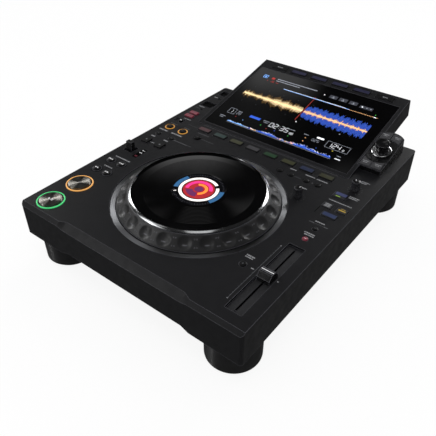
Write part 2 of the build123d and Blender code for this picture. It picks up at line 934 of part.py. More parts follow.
menu_flange_depth = display_skin + flange_gap + flange_thickness
with BuildPart() as menu_buttons:
    with BuildSketch(screen_plane.offset(-menu_flange_depth)):
        with Locations(*menu_places):
            Rectangle(menu_width + 2 * flange_lip, menu_length + 2 * flange_lip)
    extrude(amount=flange_thickness)
    with BuildSketch(screen_plane.offset(-display_skin - flange_gap)):
        with Locations(*menu_places):
            RectangleRounded(menu_width, menu_length, key_corner)
    extrude(amount=display_skin + flange_gap + menu_rise)
save(menu_buttons, "menu_buttons")

# ---- Selector pod: a shell flush with the display, dished round the selector ----
dish_sphere = (dish_radius**2 + dish_depth**2) / (2 * dish_depth)
with BuildPart() as selector_pod:
    with BuildSketch(screen_plane.offset(-display_thickness)):
        pod_outline(0)
    extrude(amount=display_thickness)
    with BuildSketch(screen_plane.offset(-display_thickness)):
        pod_outline(pod_wall)
    extrude(amount=display_thickness - pod_skin, mode=Mode.SUBTRACT)
    split(bisect_by=Plane.XY.offset(deck_z), keep=Keep.TOP)
    with BuildSketch(screen_plane.offset(-pod_skin)):
        with Locations((pod_mid_x, selector_row)):
            Circle(knob_shaft_radius + selector_shaft_gap)
    extrude(amount=pod_skin, mode=Mode.SUBTRACT)
    with Locations(screen_plane.offset(dish_sphere - dish_depth).location):
        with Locations((pod_mid_x, selector_row, 0)):
            Sphere(dish_sphere, mode=Mode.SUBTRACT)
    for row in ("front", "rear"):
        with BuildSketch(screen_plane.offset(-pod_skin)):
            pod_key_pair(row, key_gap)
        extrude(amount=pod_skin, mode=Mode.SUBTRACT)
save(selector_pod, "selector_pod")

with BuildPart() as pod_buttons:
    for row in ("front", "rear"):
        with BuildSketch(screen_plane.offset(-pod_skin - flange_gap - flange_thickness)):
            pod_key_pair(row, pod_key_lip)
        extrude(amount=flange_thickness)
        with BuildSketch(screen_plane.offset(-pod_skin - flange_gap)):
            pod_key_pair(row, 0)
        extrude(amount=pod_skin + flange_gap + pod_key_rise)
save(pod_buttons, "pod_buttons")

with BuildPart() as selector_knob:
    with BuildSketch(screen_plane.offset(-pod_skin - flange_gap - flange_thickness)):
        with Locations((pod_mid_x, selector_row)):
            Circle(knob_flange_radius)
    extrude(amount=flange_thickness)
    with BuildSketch(screen_plane.offset(-pod_skin - flange_gap)):
        with Locations((pod_mid_x, selector_row)):
            Circle(knob_shaft_radius)
    extrude(amount=pod_skin + flange_gap - selector_skirt_lift)
    with BuildSketch(screen_plane.offset(-selector_skirt_lift)):
        with Locations((pod_mid_x, selector_row)):
            Circle(selector_skirt_radius)
    extrude(amount=selector_skirt_height)
    with BuildSketch(screen_plane.offset(selector_skirt_height - selector_skirt_lift)):
        with Locations((pod_mid_x, selector_row)):
            Circle(selector_radius)
    extrude(amount=selector_height)
save(selector_knob, "selector_knob")

# ---- Glowing rings, each with a flange under the deck ----
with BuildPart() as light_rings:
    with BuildSketch(Plane.XY.offset(deck_under - ring_flange)):
        for _, place, _, bore, outside, _ in ringed_keys:
            with Locations(place):
                Circle(outside + ring_lip)
                Circle(bore, mode=Mode.SUBTRACT)
    extrude(amount=ring_flange)
    with BuildSketch(Plane.XY.offset(deck_under)):
        for _, place, _, bore, outside, _ in ringed_keys:
            with Locations(place):
                Circle(outside)
                Circle(bore, mode=Mode.SUBTRACT)
    extrude(amount=deck_thickness + ring_rise)
save(light_rings, "light_rings")

# ---- Keys: a cap through the deck and a wider flange under it ----
for name, place, radius, bore, _, rise in ringed_keys:
    ring_key_top = flange_top - ring_flange
    with BuildPart() as ringed_key:
        with BuildSketch(Plane.XY.offset(ring_key_top - flange_thickness)):
            with Locations(place):
                Circle(bore + flange_lip)
        extrude(amount=flange_thickness)
        with BuildSketch(Plane.XY.offset(ring_key_top)):
            with Locations(place):
                Circle(radius)
        extrude(amount=deck_z + rise - ring_key_top)
        chamfer(ringed_key.edges().group_by(Axis.Z)[-1], key_edge)
    save(ringed_key, name)

for name, places, radius, rise in round_keys:
    with BuildPart() as round_key:
        with BuildSketch(Plane.XY.offset(flange_z)):
            with Locations(*places):
                Circle(radius + flange_lip)
        extrude(amount=flange_thickness)
        with BuildSketch(Plane.XY.offset(flange_top)):
            with Locations(*places):
                Circle(radius)
        extrude(amount=deck_z + rise - flange_top)
        chamfer(round_key.edges().group_by(Axis.Z)[-1], key_edge)
    save(round_key, name)

for name, places, width, length, rise in square_keys:
    with BuildPart() as square_key:
        with BuildSketch(Plane.XY.offset(flange_z)):
            with Locations(*places):
                Rectangle(width + 2 * flange_lip, length + 2 * flange_lip)
        extrude(amount=flange_thickness)
        with BuildSketch(Plane.XY.offset(flange_top)):
            with Locations(*places):
                RectangleRounded(width, length, key_corner)
        extrude(amount=deck_z + rise - flange_top)
        chamfer(square_key.edges().group_by(Axis.Z)[-1], key_edge)
    save(square_key, name)

# ---- Knobs: a cap on a shaft that a flange keeps under the deck ----
for name, place in knob_places.items():
    with BuildPart() as knob:
        with BuildSketch(Plane.XY.offset(flange_z)):
            with Locations(place):
                Circle(knob_flange_radius)
        extrude(amount=flange_thickness)
        with BuildSketch(Plane.XY.offset(flange_top)):
            with Locations(place):
                Circle(knob_shaft_radius)
        extrude(amount=deck_z + knob_lift - flange_top)
        with BuildSketch(Plane.XY.offset(deck_z + knob_lift)):
            with Locations(place):
                Circle(knob_radius)
        extrude(amount=knob_height - knob_lift)
        chamfer(knob.edges().group_by(Axis.Z)[-1], key_edge)
    save(knob, name)

# ---- Tempo fader: a waisted cap, its stem through the slot and a foot under the pan ----
fader_x, fader_y = fader_place
pan_z = deck_z - fader_recess_depth
pan_under_z = pan_z - fader_floor
cap_z = pan_z + fader_lift
ridge_z = deck_z + fader_cap_top
with BuildPart() as tempo_slider:
    with BuildSketch(Plane.XY.offset(pan_under_z - flange_gap - fader_foot_height)):
        with Locations(fader_place):
            Rectangle(fader_foot_width, fader_foot_length)
    extrude(amount=fader_foot_height)
    with BuildSketch(Plane.XY.offset(pan_under_z - flange_gap)):
        with Locations(fader_place):
            Rectangle(fader_stem_width, fader_stem_length)
    extrude(amount=cap_z - pan_under_z + flange_gap)
    with BuildSketch(Plane.YZ.offset(fader_x)):
        with BuildLine():
            Polyline(
                (fader_y - fader_cap_length / 2, cap_z),
                (fader_y - fader_cap_length / 2, deck_z + fader_cap_waist),
                (fader_y - fader_ridge_length / 2, ridge_z),
                (fader_y + fader_ridge_length / 2, ridge_z),
                (fader_y + fader_cap_length / 2, deck_z + fader_cap_waist),
                (fader_y + fader_cap_length / 2, cap_z),
                close=True,
            )
        make_face()
    extrude(amount=fader_cap_width / 2, both=True)
save(tempo_slider, "tempo_slider")

# ---- Direction lever: a tapered grip that rocks on an axle under its pan ----
lever_x, lever_y = lever_place
lever_pan_z = deck_z - lever_recess_depth
lever_axle_z = lever_pan_z - lever_floor - flange_gap - lever_axle_radius
lever_grip_z = lever_pan_z + lever_lift
with BuildPart() as direction_lever:
    with BuildSketch(Plane.YZ.offset(lever_x)):
        with Locations((lever_y, lever_axle_z)):
            Circle(lever_axle_radius)
    extrude(amount=lever_axle_length / 2, both=True)
    with BuildSketch(Plane.XY.offset(lever_axle_z)):
        with Locations(lever_place):
            Rectangle(lever_stem_width, lever_stem_length)
    extrude(amount=lever_grip_z - lever_axle_z)
    with BuildSketch(Plane.XY.offset(lever_grip_z)):
        with Locations(lever_place):
            Rectangle(lever_width, lever_length)
    with BuildSketch(Plane.XY.offset(deck_z + lever_top)):
        with Locations(lever_place):
            Rectangle(lever_width, lever_length - lever_taper)
    loft()
save(direction_lever, "direction_lever")

# ---- Jog wheel: bezel and hub stand in the well, and the dial turns on the hub ----
bezel_outer = well_radius - bezel_gap
bezel_top_z = deck_z - bezel_recess
with BuildPart() as jog_bezel:
    with BuildSketch(jog_side):
        with BuildLine():
            Polyline(
                (bezel_outer, well_floor_z),
                (bezel_outer, bezel_top_z),
                (bezel_outer - bezel_width, bezel_top_z),
                (bezel_outer - bezel_width, bezel_top_z - bezel_thickness),
                (bezel_outer - bezel_skirt, bezel_top_z - bezel_thickness),
                (bezel_outer - bezel_skirt, well_floor_z),
                close=True,
            )
        make_face()
    revolve(axis=Axis((0, jog_y, 0), (0, 0, 1)))
save(jog_bezel, "jog_bezel")

with BuildPart() as jog_hub:
    with BuildSketch(jog_plane.offset(well_floor_z)):
        Circle(hub_flange_radius)
    extrude(amount=hub_flange_thickness)
    with BuildSketch(jog_plane.offset(hub_seat_z)):
        Circle(bearing_radius)
    extrude(amount=readout_seat_z - hub_seat_z)
    with BuildSketch(jog_plane.offset(well_floor_z)):
        Circle(hub_bore_radius)
    extrude(amount=readout_seat_z - well_floor_z, mode=Mode.SUBTRACT)
save(jog_hub, "jog_hub")

with BuildPart() as jog_display:
    with BuildSketch(jog_plane.offset(readout_seat_z)):
        Circle(readout_radius)
    extrude(amount=readout_thickness)
save(jog_display, "jog_display")

sleeve_radius = bearing_radius + bearing_clearance
web_z = web_top_z - dial_web
grip_foot_z = deck_z + dial_shoulder
grip_top_z = rim_top_z - dial_shoulder
skirt_z = deck_z - dial_skirt_drop
grip_mid_radius = (dial_radius + grip_inner_radius) / 2
grip_mid_z = (grip_foot_z + grip_top_z) / 2
grip_run = dial_radius - grip_inner_radius
grip_climb = grip_top_z - grip_foot_z
grip_slope = (grip_run**2 + grip_climb**2) ** 0.5
dimple_reach = dimple_sphere - dimple_depth
dimple_radius = grip_mid_radius + dimple_reach * grip_climb / grip_slope
dimple_z = grip_mid_z + dimple_reach * grip_run / grip_slope
with BuildPart() as jog_dial:
    with BuildSketch(jog_side):
        with BuildLine():
            Polyline(
                (sleeve_radius, hub_seat_z + sleeve_gap),
                (sleeve_radius + sleeve_wall, hub_seat_z + sleeve_gap),
                (sleeve_radius + sleeve_wall, web_z),
                (grip_inner_radius, web_z),
                (dial_radius - sleeve_wall, skirt_z),
                (dial_radius, skirt_z),
                (dial_radius, grip_foot_z),
                (grip_inner_radius, grip_top_z),
                (grip_inner_radius, plate_seat_z),
                (grip_inner_radius - shelf_width, plate_seat_z),
                (grip_inner_radius - shelf_width, web_top_z),
                (sleeve_radius, web_top_z),
                close=True,
            )
        make_face()
    revolve(axis=Axis((0, jog_y, 0), (0, 0, 1)))
    with Locations(jog_plane.offset(dimple_z).location):
        with PolarLocations(dimple_radius, dimple_count):
            Sphere(dimple_sphere, mode=Mode.SUBTRACT)
save(jog_dial, "jog_dial")

with BuildPart() as jog_rim:
    with BuildSketch(jog_plane.offset(rim_seat_z)):
        Circle(grip_inner_radius - plate_gap / 2)
        Circle(grip_inner_radius - rim_width, mode=Mode.SUBTRACT)
    extrude(amount=rim_top_z - rim_seat_z)
save(jog_rim, "jog_rim")

with BuildPart() as jog_plate:
    with BuildSketch(jog_plane.offset(plate_seat_z)):
        Circle(plate_radius)
        Circle(readout_radius + readout_gap, mode=Mode.SUBTRACT)
    extrude(amount=plate_thickness)
save(jog_plate, "jog_plate")

# ---- Rear panel with its sockets, the mains inlet and the power key ----
panel_inner_y = panel_outer_y - panel_thickness
with BuildPart() as rear_panel:
    with BuildSketch(rear_plane):
        with Locations((0, panel_mid_z)):
            Rectangle(2 * (panel_half_width + panel_lip), panel_height + 2 * panel_lip)
    extrude(amount=-panel_thickness)
    with BuildSketch(rear_plane):
        with Locations((-network_x, panel_mid_z)):
            Rectangle(network_size + 2 * network_wall, network_size + 2 * network_wall)
    extrude(amount=-network_depth - network_wall)
    with BuildSketch(rear_plane):
        with Locations(*[(-offset, panel_mid_z) for offset in jack_offsets]):
            Circle(jack_radius)
    extrude(amount=jack_length)
    with BuildSketch(rear_plane.offset(jack_length)):
        with Locations(*[(-offset, panel_mid_z) for offset in jack_offsets]):
            Circle(jack_bore_radius)
    extrude(amount=-jack_length, mode=Mode.SUBTRACT)
    with BuildSketch(rear_plane):
        with Locations((-network_x, panel_mid_z)):
            Rectangle(network_size, network_size)
    extrude(amount=-network_depth, mode=Mode.SUBTRACT)
    with BuildSketch(rear_plane):
        with Locations((-inlet_x, panel_mid_z)):
            Rectangle(inlet_width + 2 * fit_gap, inlet_height + 2 * fit_gap)
        with Locations((-power_x, panel_mid_z)):
            RectangleRounded(
                power_width + 2 * key_gap,
                power_height + 2 * key_gap,
                key_corner + key_gap,
            )
    extrude(amount=-panel_thickness, mode=Mode.SUBTRACT)
save(rear_panel, "rear_panel")

with BuildPart() as ac_inlet:
    with BuildSketch(rear_plane):
        with Locations((-inlet_x, panel_mid_z)):
            Rectangle(inlet_width, inlet_height)
    extrude(amount=-inlet_depth)
    with BuildSketch(rear_plane.offset(-panel_thickness)):
        with Locations((-inlet_x, panel_mid_z)):
            Rectangle(inlet_width + 2 * inlet_flange, inlet_height + 2 * inlet_flange)
    extrude(amount=-inlet_flange)
    with BuildSketch(rear_plane):
        with Locations((-inlet_x, panel_mid_z)):
            Rectangle(inlet_pocket_width, inlet_pocket_height)
    extrude(amount=-inlet_pocket_depth, mode=Mode.SUBTRACT)
    with BuildSketch(rear_plane.offset(-inlet_pocket_depth)):
        with Locations(
            (-inlet_x - blade_pitch, panel_mid_z - blade_drop / 2),
            (-inlet_x + blade_pitch, panel_mid_z - blade_drop / 2),
            (-inlet_x, panel_mid_z + blade_drop / 2),
        ):
            Rectangle(blade_thickness, blade_width)
    extrude(amount=blade_length)
save(ac_inlet, "ac_inlet")

with BuildPart() as power_button:
    with BuildSketch(rear_plane.offset(-panel_thickness - flange_gap)):
        with Locations((-power_x, panel_mid_z)):
            Rectangle(power_width + 2 * power_lip, power_height + 2 * power_lip)
    extrude(amount=-flange_thickness)
    with BuildSketch(rear_plane.offset(-panel_thickness - flange_gap)):
        with Locations((-power_x, panel_mid_z)):
            RectangleRounded(power_width, power_height, key_corner)
    extrude(amount=panel_thickness + flange_gap + power_rise)
save(power_button, "power_button")

# ---- Boards and power supply ----
board_width = case_width - 2 * board_side_gap
board_mid_y = front_y + (board_front_distance + board_rear_distance) / 2
port_board_x = -case_width / 2 + board_side_gap + port_board_width / 2
port_board_rear = first_port_place[1] - first_port_length / 2 - pan_wall - board_post_radius
fader_clear_rear = fader_y + (fader_travel + fader_cap_length) / 2 + fader_margin + pan_wall
fader_clear_length = fader_clear_rear + board_post_radius - front_y
with BuildPart() as control_board:
    with BuildSketch(Plane.XY.offset(board_top - board_thickness)):
        with Locations((0, board_mid_y)):
            Rectangle(board_width, board_rear_distance - board_front_distance)
        with Locations((port_board_x, (board_mid_y + port_board_rear) / 2)):
            Rectangle(port_board_width, port_board_rear - board_mid_y)
        with Locations((0, jog_y)):
            Circle(well_radius + well_wall + board_well_gap, mode=Mode.SUBTRACT)
        with Locations(
            (
                case_width / 2 - fader_clear_width / 2,
                front_y + fader_clear_length / 2,
            )
        ):
            Rectangle(fader_clear_width, fader_clear_length, mode=Mode.SUBTRACT)
        with Locations(lever_place):
            Rectangle(
                lever_recess + 2 * (pan_wall + board_well_gap),
                lever_recess + 2 * (pan_wall + board_well_gap),
                mode=Mode.SUBTRACT,
            )
        with Locations(second_port_place):
            Rectangle(
                second_port_width + 2 * (pan_wall + board_well_gap),
                second_port_length + 2 * (pan_wall + board_well_gap),
                mode=Mode.SUBTRACT,
            )
        with Locations(*screw_places):
            Circle(boss_radius + board_well_gap, mode=Mode.SUBTRACT)
    extrude(amount=board_thickness)
save(control_board, "control_board")

main_board_z = tray_z + tray_floor + main_board_rise
with BuildPart() as main_board:
    with BuildSketch(Plane.XY.offset(main_board_z)):
        with Locations(main_board_mid):
            Rectangle(main_board_width, main_board_length)
    extrude(amount=board_thickness)
save(main_board, "main_board")

with BuildPart() as power_supply:
    with BuildSketch(Plane.XY.offset(tray_z + tray_floor)):
        with Locations(
            (
                supply_left + supply_width / 2,
                tray_rear_y - supply_rear_gap - supply_length / 2,
            )
        ):
            Rectangle(supply_width, supply_length)
    extrude(amount=supply_height)
save(power_supply, "power_supply")
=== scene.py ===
import json
import math
from random import Random

import bmesh
import bpy
from mathutils import Matrix, Vector


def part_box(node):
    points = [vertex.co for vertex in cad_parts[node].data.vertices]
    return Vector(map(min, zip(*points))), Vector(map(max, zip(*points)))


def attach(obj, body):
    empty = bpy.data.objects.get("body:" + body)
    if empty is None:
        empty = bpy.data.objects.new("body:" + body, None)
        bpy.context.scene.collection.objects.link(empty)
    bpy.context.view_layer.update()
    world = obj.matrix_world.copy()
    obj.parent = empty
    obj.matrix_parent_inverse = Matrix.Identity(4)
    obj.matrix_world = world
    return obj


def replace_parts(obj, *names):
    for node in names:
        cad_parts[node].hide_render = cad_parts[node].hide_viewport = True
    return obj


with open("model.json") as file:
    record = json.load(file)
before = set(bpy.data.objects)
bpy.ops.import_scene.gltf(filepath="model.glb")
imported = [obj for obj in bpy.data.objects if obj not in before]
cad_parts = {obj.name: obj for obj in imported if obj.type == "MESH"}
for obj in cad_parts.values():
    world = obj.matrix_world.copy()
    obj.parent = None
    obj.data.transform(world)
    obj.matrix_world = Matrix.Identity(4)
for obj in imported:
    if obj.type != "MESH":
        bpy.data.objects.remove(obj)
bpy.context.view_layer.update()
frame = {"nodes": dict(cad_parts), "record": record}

nodes = frame["nodes"]
# The body that each CAD part rides on, and its material slot
bodyOfNode = {
    node: body
    for body, members in frame["record"]["behaviour"]["bodies"].items()
    for node in members
}
slotOfNode = {row["node"]: row["material_slot"] for row in frame["record"]["subparts"]}
print("stage 1: frame loaded,", len(nodes), "nodes")

# Places shared by many pieces, in millimetres
layout = {
    "halfWidth": 164.5,
    "frontY": -235.51,
    "rearY": 170.19,
    "deckZ": 84.0,
    "jogY": -97.91,
    "displayTilt": math.radians(12.7),
    "displayOrigin": (0.0, 49.89, 84.6),
}


def hexToLinear(code):
    channels = [int(code[i : i + 2], 16) / 255 for i in (1, 3, 5)]
    return [c / 12.92 if c <= 0.04045 else ((c + 0.055) / 1.055) ** 2.4 for c in channels] + [1.0]


def perMillimetre(size):
    return 1000.0 / size  # texture scale that repeats once in that many millimetres


def addNode(tree, kind, settings=None, links=None):
    node = tree.nodes.new("ShaderNode" + kind)
    for key, value in (settings or {}).items():
        if isinstance(key, int) or key in node.inputs:
            node.inputs[key].default_value = value
        else:
            setattr(node, key, value)
    for key, source in (links or {}).items():
        tree.links.new(source, node.inputs[key])
    return node


def newMaterial(name, settings):
    material = bpy.data.materials.new(name)
    material.use_nodes = True
    tree = material.node_tree
    shader = tree.nodes["Principled BSDF"]
    for key, value in settings.items():
        shader.inputs[key].default_value = value
    return material, tree, shader, addNode(tree, "TexCoord").outputs["Object"]


def fromLeft(inset, row):
    return (inset - layout["halfWidth"], layout["frontY"] + row)


def fromRight(inset, row):
    return (layout["halfWidth"] - inset, layout["frontY"] + row)


def middleOf(node):
    low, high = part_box(node)
    return ((low.x + high.x) * 500, (low.y + high.y) * 500)


def topOf(node):
    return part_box(node)[1].z * 1000


slopeFrame = Matrix.Translation([v / 1000 for v in layout["displayOrigin"]]) @ Matrix.Rotation(
    layout["displayTilt"], 4, "X"
)
deckFrame = Matrix.Translation((0, 0, layout["deckZ"] / 1000))


# Materials. Each one is a real material and the way its surface was made.
def twoTones(tree, shader, dark, light, share):
    ends = {"data_type": "RGBA", 6: hexToLinear(dark), 7: hexToLinear(light)}
    tone = addNode(tree, "Mix", ends, {0: share}).outputs[2]
    tree.links.new(tone, shader.inputs["Base Color"])
    return tone


def noisyColour(tree, shader, place, dark, light, size, detail=4.0):
    grain = {"Scale": perMillimetre(size), "Detail": detail}
    noise = addNode(tree, "TexNoise", grain, {"Vector": place})
    return twoTones(tree, shader, dark, light, noise.outputs["Fac"])


def noisyRoughness(tree, shader, place, low, high, size):
    grain = {"Scale": perMillimetre(size), "Detail": 3.0}
    noise = addNode(tree, "TexNoise", grain, {"Vector": place})
    reach = {"From Min": 0.3, "From Max": 0.7, "To Min": low, "To Max": high}
    spread = addNode(tree, "MapRange", reach, {"Value": noise.outputs["Fac"]})
    tree.links.new(spread.outputs["Result"], shader.inputs["Roughness"])


def raisedBy(tree, shader, height, strength, depth):
    settings = {"Strength": strength, "Distance": depth / 1000}
    bump = addNode(tree, "Bump", settings, {"Height": height})
    tree.links.new(bump.outputs["Normal"], shader.inputs["Normal"])


def grainBump(tree, shader, place, size, strength, depth):
    grain = {"Scale": perMillimetre(size), "Detail": 2.0}
    noise = addNode(tree, "TexNoise", grain, {"Vector": place})
    raisedBy(tree, shader, noise.outputs["Fac"], strength, depth)


caseLook = {
    "dark": "#111113",
    "light": "#171719",
    # paler tone painted along the edges: rubbed wear and a painted highlight
    "wornAndSheenTone": "#5c5c62",
    "mottle": 14.0,
    "grain": 0.9,  # the real grain is 0.1 mm, drawn coarser so that it shows
    "bump": 0.22,
    "depth": 0.05,
    "shine": 0.16,
    "smooth": 0.36,
    "rough": 0.46,
    "wearAndSheen": 0.7,
    "wearAndSheenWidth": 0.9,
    "wearAndSheenStarts": 0.995,  # cosine between the true and the softened face
    "wearAndSheenEnds": 0.9,
}


def mouldedAbs(name, **changes):
    # Spark-eroded mould: a fine matt grain, a little mottled, paler along the edges, which is
    # partly rubbed wear and partly a painted highlight on the rounded edges.
    look = {**caseLook, **changes}
    material, tree, shader, place = newMaterial(
        name, {"IOR": 1.54, "Specular IOR Level": look["shine"], "Metallic": 0.0}
    )
    tone = noisyColour(tree, shader, place, look["dark"], look["light"], look["mottle"])
    noisyRoughness(tree, shader, place, look["smooth"], look["rough"], look["mottle"] * 0.6)
    grainBump(tree, shader, place, look["grain"], look["bump"], look["depth"])
    # Edges are painted paler: partly wear, partly a painted highlight where the rounded edge
    # catches the light
    softEdge = addNode(tree, "Bevel", {"samples": 4, "Radius": look["wearAndSheenWidth"] / 1000})
    face = addNode(tree, "NewGeometry")
    turn = addNode(
        tree,
        "VectorMath",
        {"operation": "DOT_PRODUCT"},
        {0: softEdge.outputs["Normal"], 1: face.outputs["Normal"]},
    )
    reach = {"From Min": look["wearAndSheenStarts"], "From Max": look["wearAndSheenEnds"], "To Max": look["wearAndSheen"]}
    wearAndSheen = addNode(tree, "MapRange", reach, {"Value": turn.outputs["Value"]})
    wornAndSheenedEdge = addNode(
        tree,
        "Mix",
        {"data_type": "RGBA", 7: hexToLinear(look["wornAndSheenTone"])},
        {0: wearAndSheen.outputs["Result"], 6: tone},
    )
    tree.links.new(wornAndSheenedEdge.outputs[2], shader.inputs["Base Color"])
    return material


def siliconeKey(name, dark, light, roughness, shine=0.3):
    # Moulded silicone: soft and even, faint mottling, no sharp glints.
    settings = {"IOR": 1.41, "Specular IOR Level": shine}
    material, tree, shader, place = newMaterial(name, settings)
    noisyColour(tree, shader, place, dark, light, 2.5)
    noisyRoughness(tree, shader, place, roughness - 0.06, roughness + 0.06, 1.8)
    grainBump(tree, shader, place, 0.8, 0.12, 0.03)  # coarser than the real 0.1 mm, to show
    return material


def litPolycarbonate(name, dark, light, strength):
    # Tinted polycarbonate over a lamp: an even, faint light from inside the key.
    settings = {"IOR": 1.58, "Specular IOR Level": 0.5, "Emission Strength": strength}
    material, tree, shader, place = newMaterial(name, settings)
    tone = noisyColour(tree, shader, place, dark, light, 6.0)
    tree.links.new(tone, shader.inputs["Emission Color"])
    noisyRoughness(tree, shader, place, 0.28, 0.4, 1.5)
    grainBump(tree, shader, place, 0.7, 0.08, 0.02)  # coarser than the real 0.1 mm, to show
    return material


def glowingRing(name, dark, light, strength):
    # Opal polycarbonate light guide: even glow with slightly paler patches over the lamps.
    settings = {"IOR": 1.58, "Roughness": 0.35, "Emission Strength": strength}
    material, tree, shader, place = newMaterial(name, settings)
    tone = noisyColour(tree, shader, place, dark, light, 9.0, 1.0)
    tree.links.new(tone, shader.inputs["Emission Color"])
    return material


def turnedAluminium(name, middle, look):
    # Turned on a lathe: fine rings round the middle stretch each highlight into a bow tie.
    settings = {"Metallic": 1.0, "Roughness": look["roughness"], "Anisotropic": look["stretch"]}
    material, tree, shader, place = newMaterial(name, settings)
    centre = {"operation": "SUBTRACT", 1: [v / 1000 for v in middle]}
    offset = addNode(tree, "VectorMath", centre, {0: place}).outputs["Vector"]
    level = {"operation": "MULTIPLY", 1: (1.0, 1.0, 0.0)}
    flat = addNode(tree, "VectorMath", level, {0: offset}).outputs["Vector"]
    radius = addNode(tree, "VectorMath", {"operation": "LENGTH"}, {0: flat})
    ringNoise = {"noise_dimensions": "1D", "Scale": perMillimetre(look["ring"]), "Detail": 2.0}
    rings = addNode(tree, "TexNoise", ringNoise, {"W": radius.outputs["Value"]}).outputs["Fac"]
    twoTones(tree, shader, look["dark"], look["light"], rings)
    raisedBy(tree, shader, rings, look["bump"], 0.03)
    tree.links.new(flat, shader.inputs["Tangent"])
    return material


def chromedBrass(name, dark, light, roughness):
    # Polished chrome plate: mirror bright, with faint wiping haze.
    material, tree, shader, place = newMaterial(name, {"Metallic": 1.0})
    noisyColour(tree, shader, place, dark, light, 12.0)
    noisyRoughness(tree, shader, place, roughness, roughness + 0.07, 5.0)
    return material


def hardenedGlass(name, dark, light, roughness, mottle):
    # Black-backed hardened glass: deep and glossy, with a trace of finger haze.
    settings = {"IOR": 1.5, "Specular IOR Level": 0.32}
    material, tree, shader, place = newMaterial(name, settings)
    noisyColour(tree, shader, place, dark, light, mottle)
    noisyRoughness(tree, shader, place, roughness, roughness + 0.03, mottle)
    return material


def sheetMetal(name, dark, light, roughness, grain):
    # Cold-rolled sheet: long faint rolling lines, satin.
    material, tree, shader, place = newMaterial(name, {"Metallic": 1.0})
    rolled = addNode(tree, "Mapping", {"Scale": (1.0, 12.0, 12.0)}, {"Vector": place})
    lines = {"Scale": perMillimetre(grain), "Detail": 3.0}
    noise = addNode(tree, "TexNoise", lines, {"Vector": rolled.outputs["Vector"]})
    twoTones(tree, shader, dark, light, noise.outputs["Fac"])
    noisyRoughness(tree, shader, place, roughness - 0.05, roughness + 0.05, grain * 3)
    return material


def screenInk(name, dark, light, strength=0.0, size=1.2):
    # Screen-printed ink, or a lit pixel where it glows: slightly uneven in density.
    settings = {"IOR": 1.5, "Specular IOR Level": 0.3, "Emission Strength": strength}
    material, tree, shader, place = newMaterial(name, settings)
    tone = noisyColour(tree, shader, place, dark, light, size)
    if strength:
        tree.links.new(tone, shader.inputs["Emission Color"])
    noisyRoughness(tree, shader, place, 0.45, 0.6, size)
    return material


pitchBlack = {"dark": "#0b0b0c", "light": "#121213"}
finishes = {
    "case": mouldedAbs("mouldedAbs"),
    "lower": mouldedAbs(
        "mouldedAbsMatt", dark="#0b0b0c", light="#111112", smooth=0.55, rough=0.65, shine=0.1
    ),
    "foot": mouldedAbs(
        "polishedAbs", dark="#101011", light="#161617", rough=0.42, bump=0.01, shine=0.6
    ),
    "pod": mouldedAbs("mouldedAbsPod", **pitchBlack, smooth=0.22, rough=0.32, shine=0.3),
    "dial": mouldedAbs(
        "mouldedAbsDial",
        dark="#19191a",
        light="#232324",
        smooth=0.4,
        rough=0.48,
        bump=0.12,
        mottle=8.0,
        shine=0.45,
    ),
    "knob": mouldedAbs(
        "mouldedAbsKnob", **pitchBlack, smooth=0.16, rough=0.24, bump=0.04, mottle=3.0, shine=0.7
    ),
    "selector": mouldedAbs(
        "polishedAbsKnob",
        dark="#0a0a0b",
        light="#101011",
        smooth=0.1,
        rough=0.16,
        bump=0.02,
        mottle=3.0,
        shine=0.55,
    ),
    "panel": mouldedAbs(  # a powder coat shows the same kind of grain, only coarser
        "powderCoatedSteel",
        dark="#0f0f10",
        light="#161617",
        grain=1.4,
        bump=0.35,
        smooth=0.5,
        rough=0.6,
    ),
    # Rubber, silicone, flock and matt ink are all soft and even
    "pad": siliconeKey("neopreneRubber", "#101010", "#191919", 0.8),
    "key": siliconeKey("siliconeKey", "#070708", "#0e0e0f", 0.36),
    "podKey": siliconeKey("siliconeKeyPale", "#303032", "#3e3e40", 0.34),
    "greyKey": siliconeKey("siliconeKeyGrey", "#1a1a1c", "#242427", 0.42),
    "track": siliconeKey("flockedStrip", "#1c1c1e", "#262628", 0.55),
    # near-black ink for the collars round the domes, also laid in the ports as painted shade
    "collarAndPaintedShade": siliconeKey("blackInkAndPaintedShade", "#020202", "#040404", 0.6, 0.05),
    "redKey": litPolycarbonate("redPolycarbonate", "#5a1a26", "#742838", 0.16),
    "glass": hardenedGlass("hardenedGlass", "#030303", "#050506", 0.04, 30.0),
    "plate": hardenedGlass("polishedPolycarbonate", "#030303", "#060607", 0.035, 18.0),
    "readoutGlass": hardenedGlass("readoutGlass", "#060608", "#0b0b0f", 0.08, 9.0),
    "board": hardenedGlass("solderMask", "#0d3b20", "#145430", 0.3, 4.0),
    "rim": chromedBrass("chromePlate", "#b9bbbe", "#dcdddf", 0.1),
    "skirt": chromedBrass("chromePlateSkirt", "#c4c5c8", "#e4e5e6", 0.16),
    "steel": sheetMetal("blackZincSteel", "#3a3a3c", "#565658", 0.4, 3.0),
    "supply": sheetMetal("coldRolledSteel", "#8f9194", "#a9abad", 0.4, 4.0),
    "contact": sheetMetal("nickelPlate", "#a8a49a", "#c8c4ba", 0.28, 2.0),
    "white": screenInk("whiteInk", "#c9c9cb", "#e2e2e4"),
    "grey": screenInk("greyInk", "#77787b", "#8e8f92"),
    "dimInk": screenInk("dimInk", "#46474a", "#5b5c60"),
    "amberInk": screenInk("amberInk", "#7a6420", "#a0862e", 0.2),
    "windowRed": screenInk("windowRed", "#4a1420", "#60202c", 0.2, 2.0),
    "windowGreen": screenInk("windowGreen", "#6a8a2a", "#86a83a", 0.35, 2.0),
}
# Fine rings left by the mould pull each highlight on the drums up and down
drumTree = finishes["foot"].node_tree
drumShader = drumTree.nodes["Principled BSDF"]
drumShader.inputs["Anisotropic"].default_value = 1.0
upward = addNode(drumTree, "CombineXYZ", {"Z": 1.0})
drumTree.links.new(upward.outputs["Vector"], drumShader.inputs["Tangent"])
print("stage 2: materials made,", len(finishes))


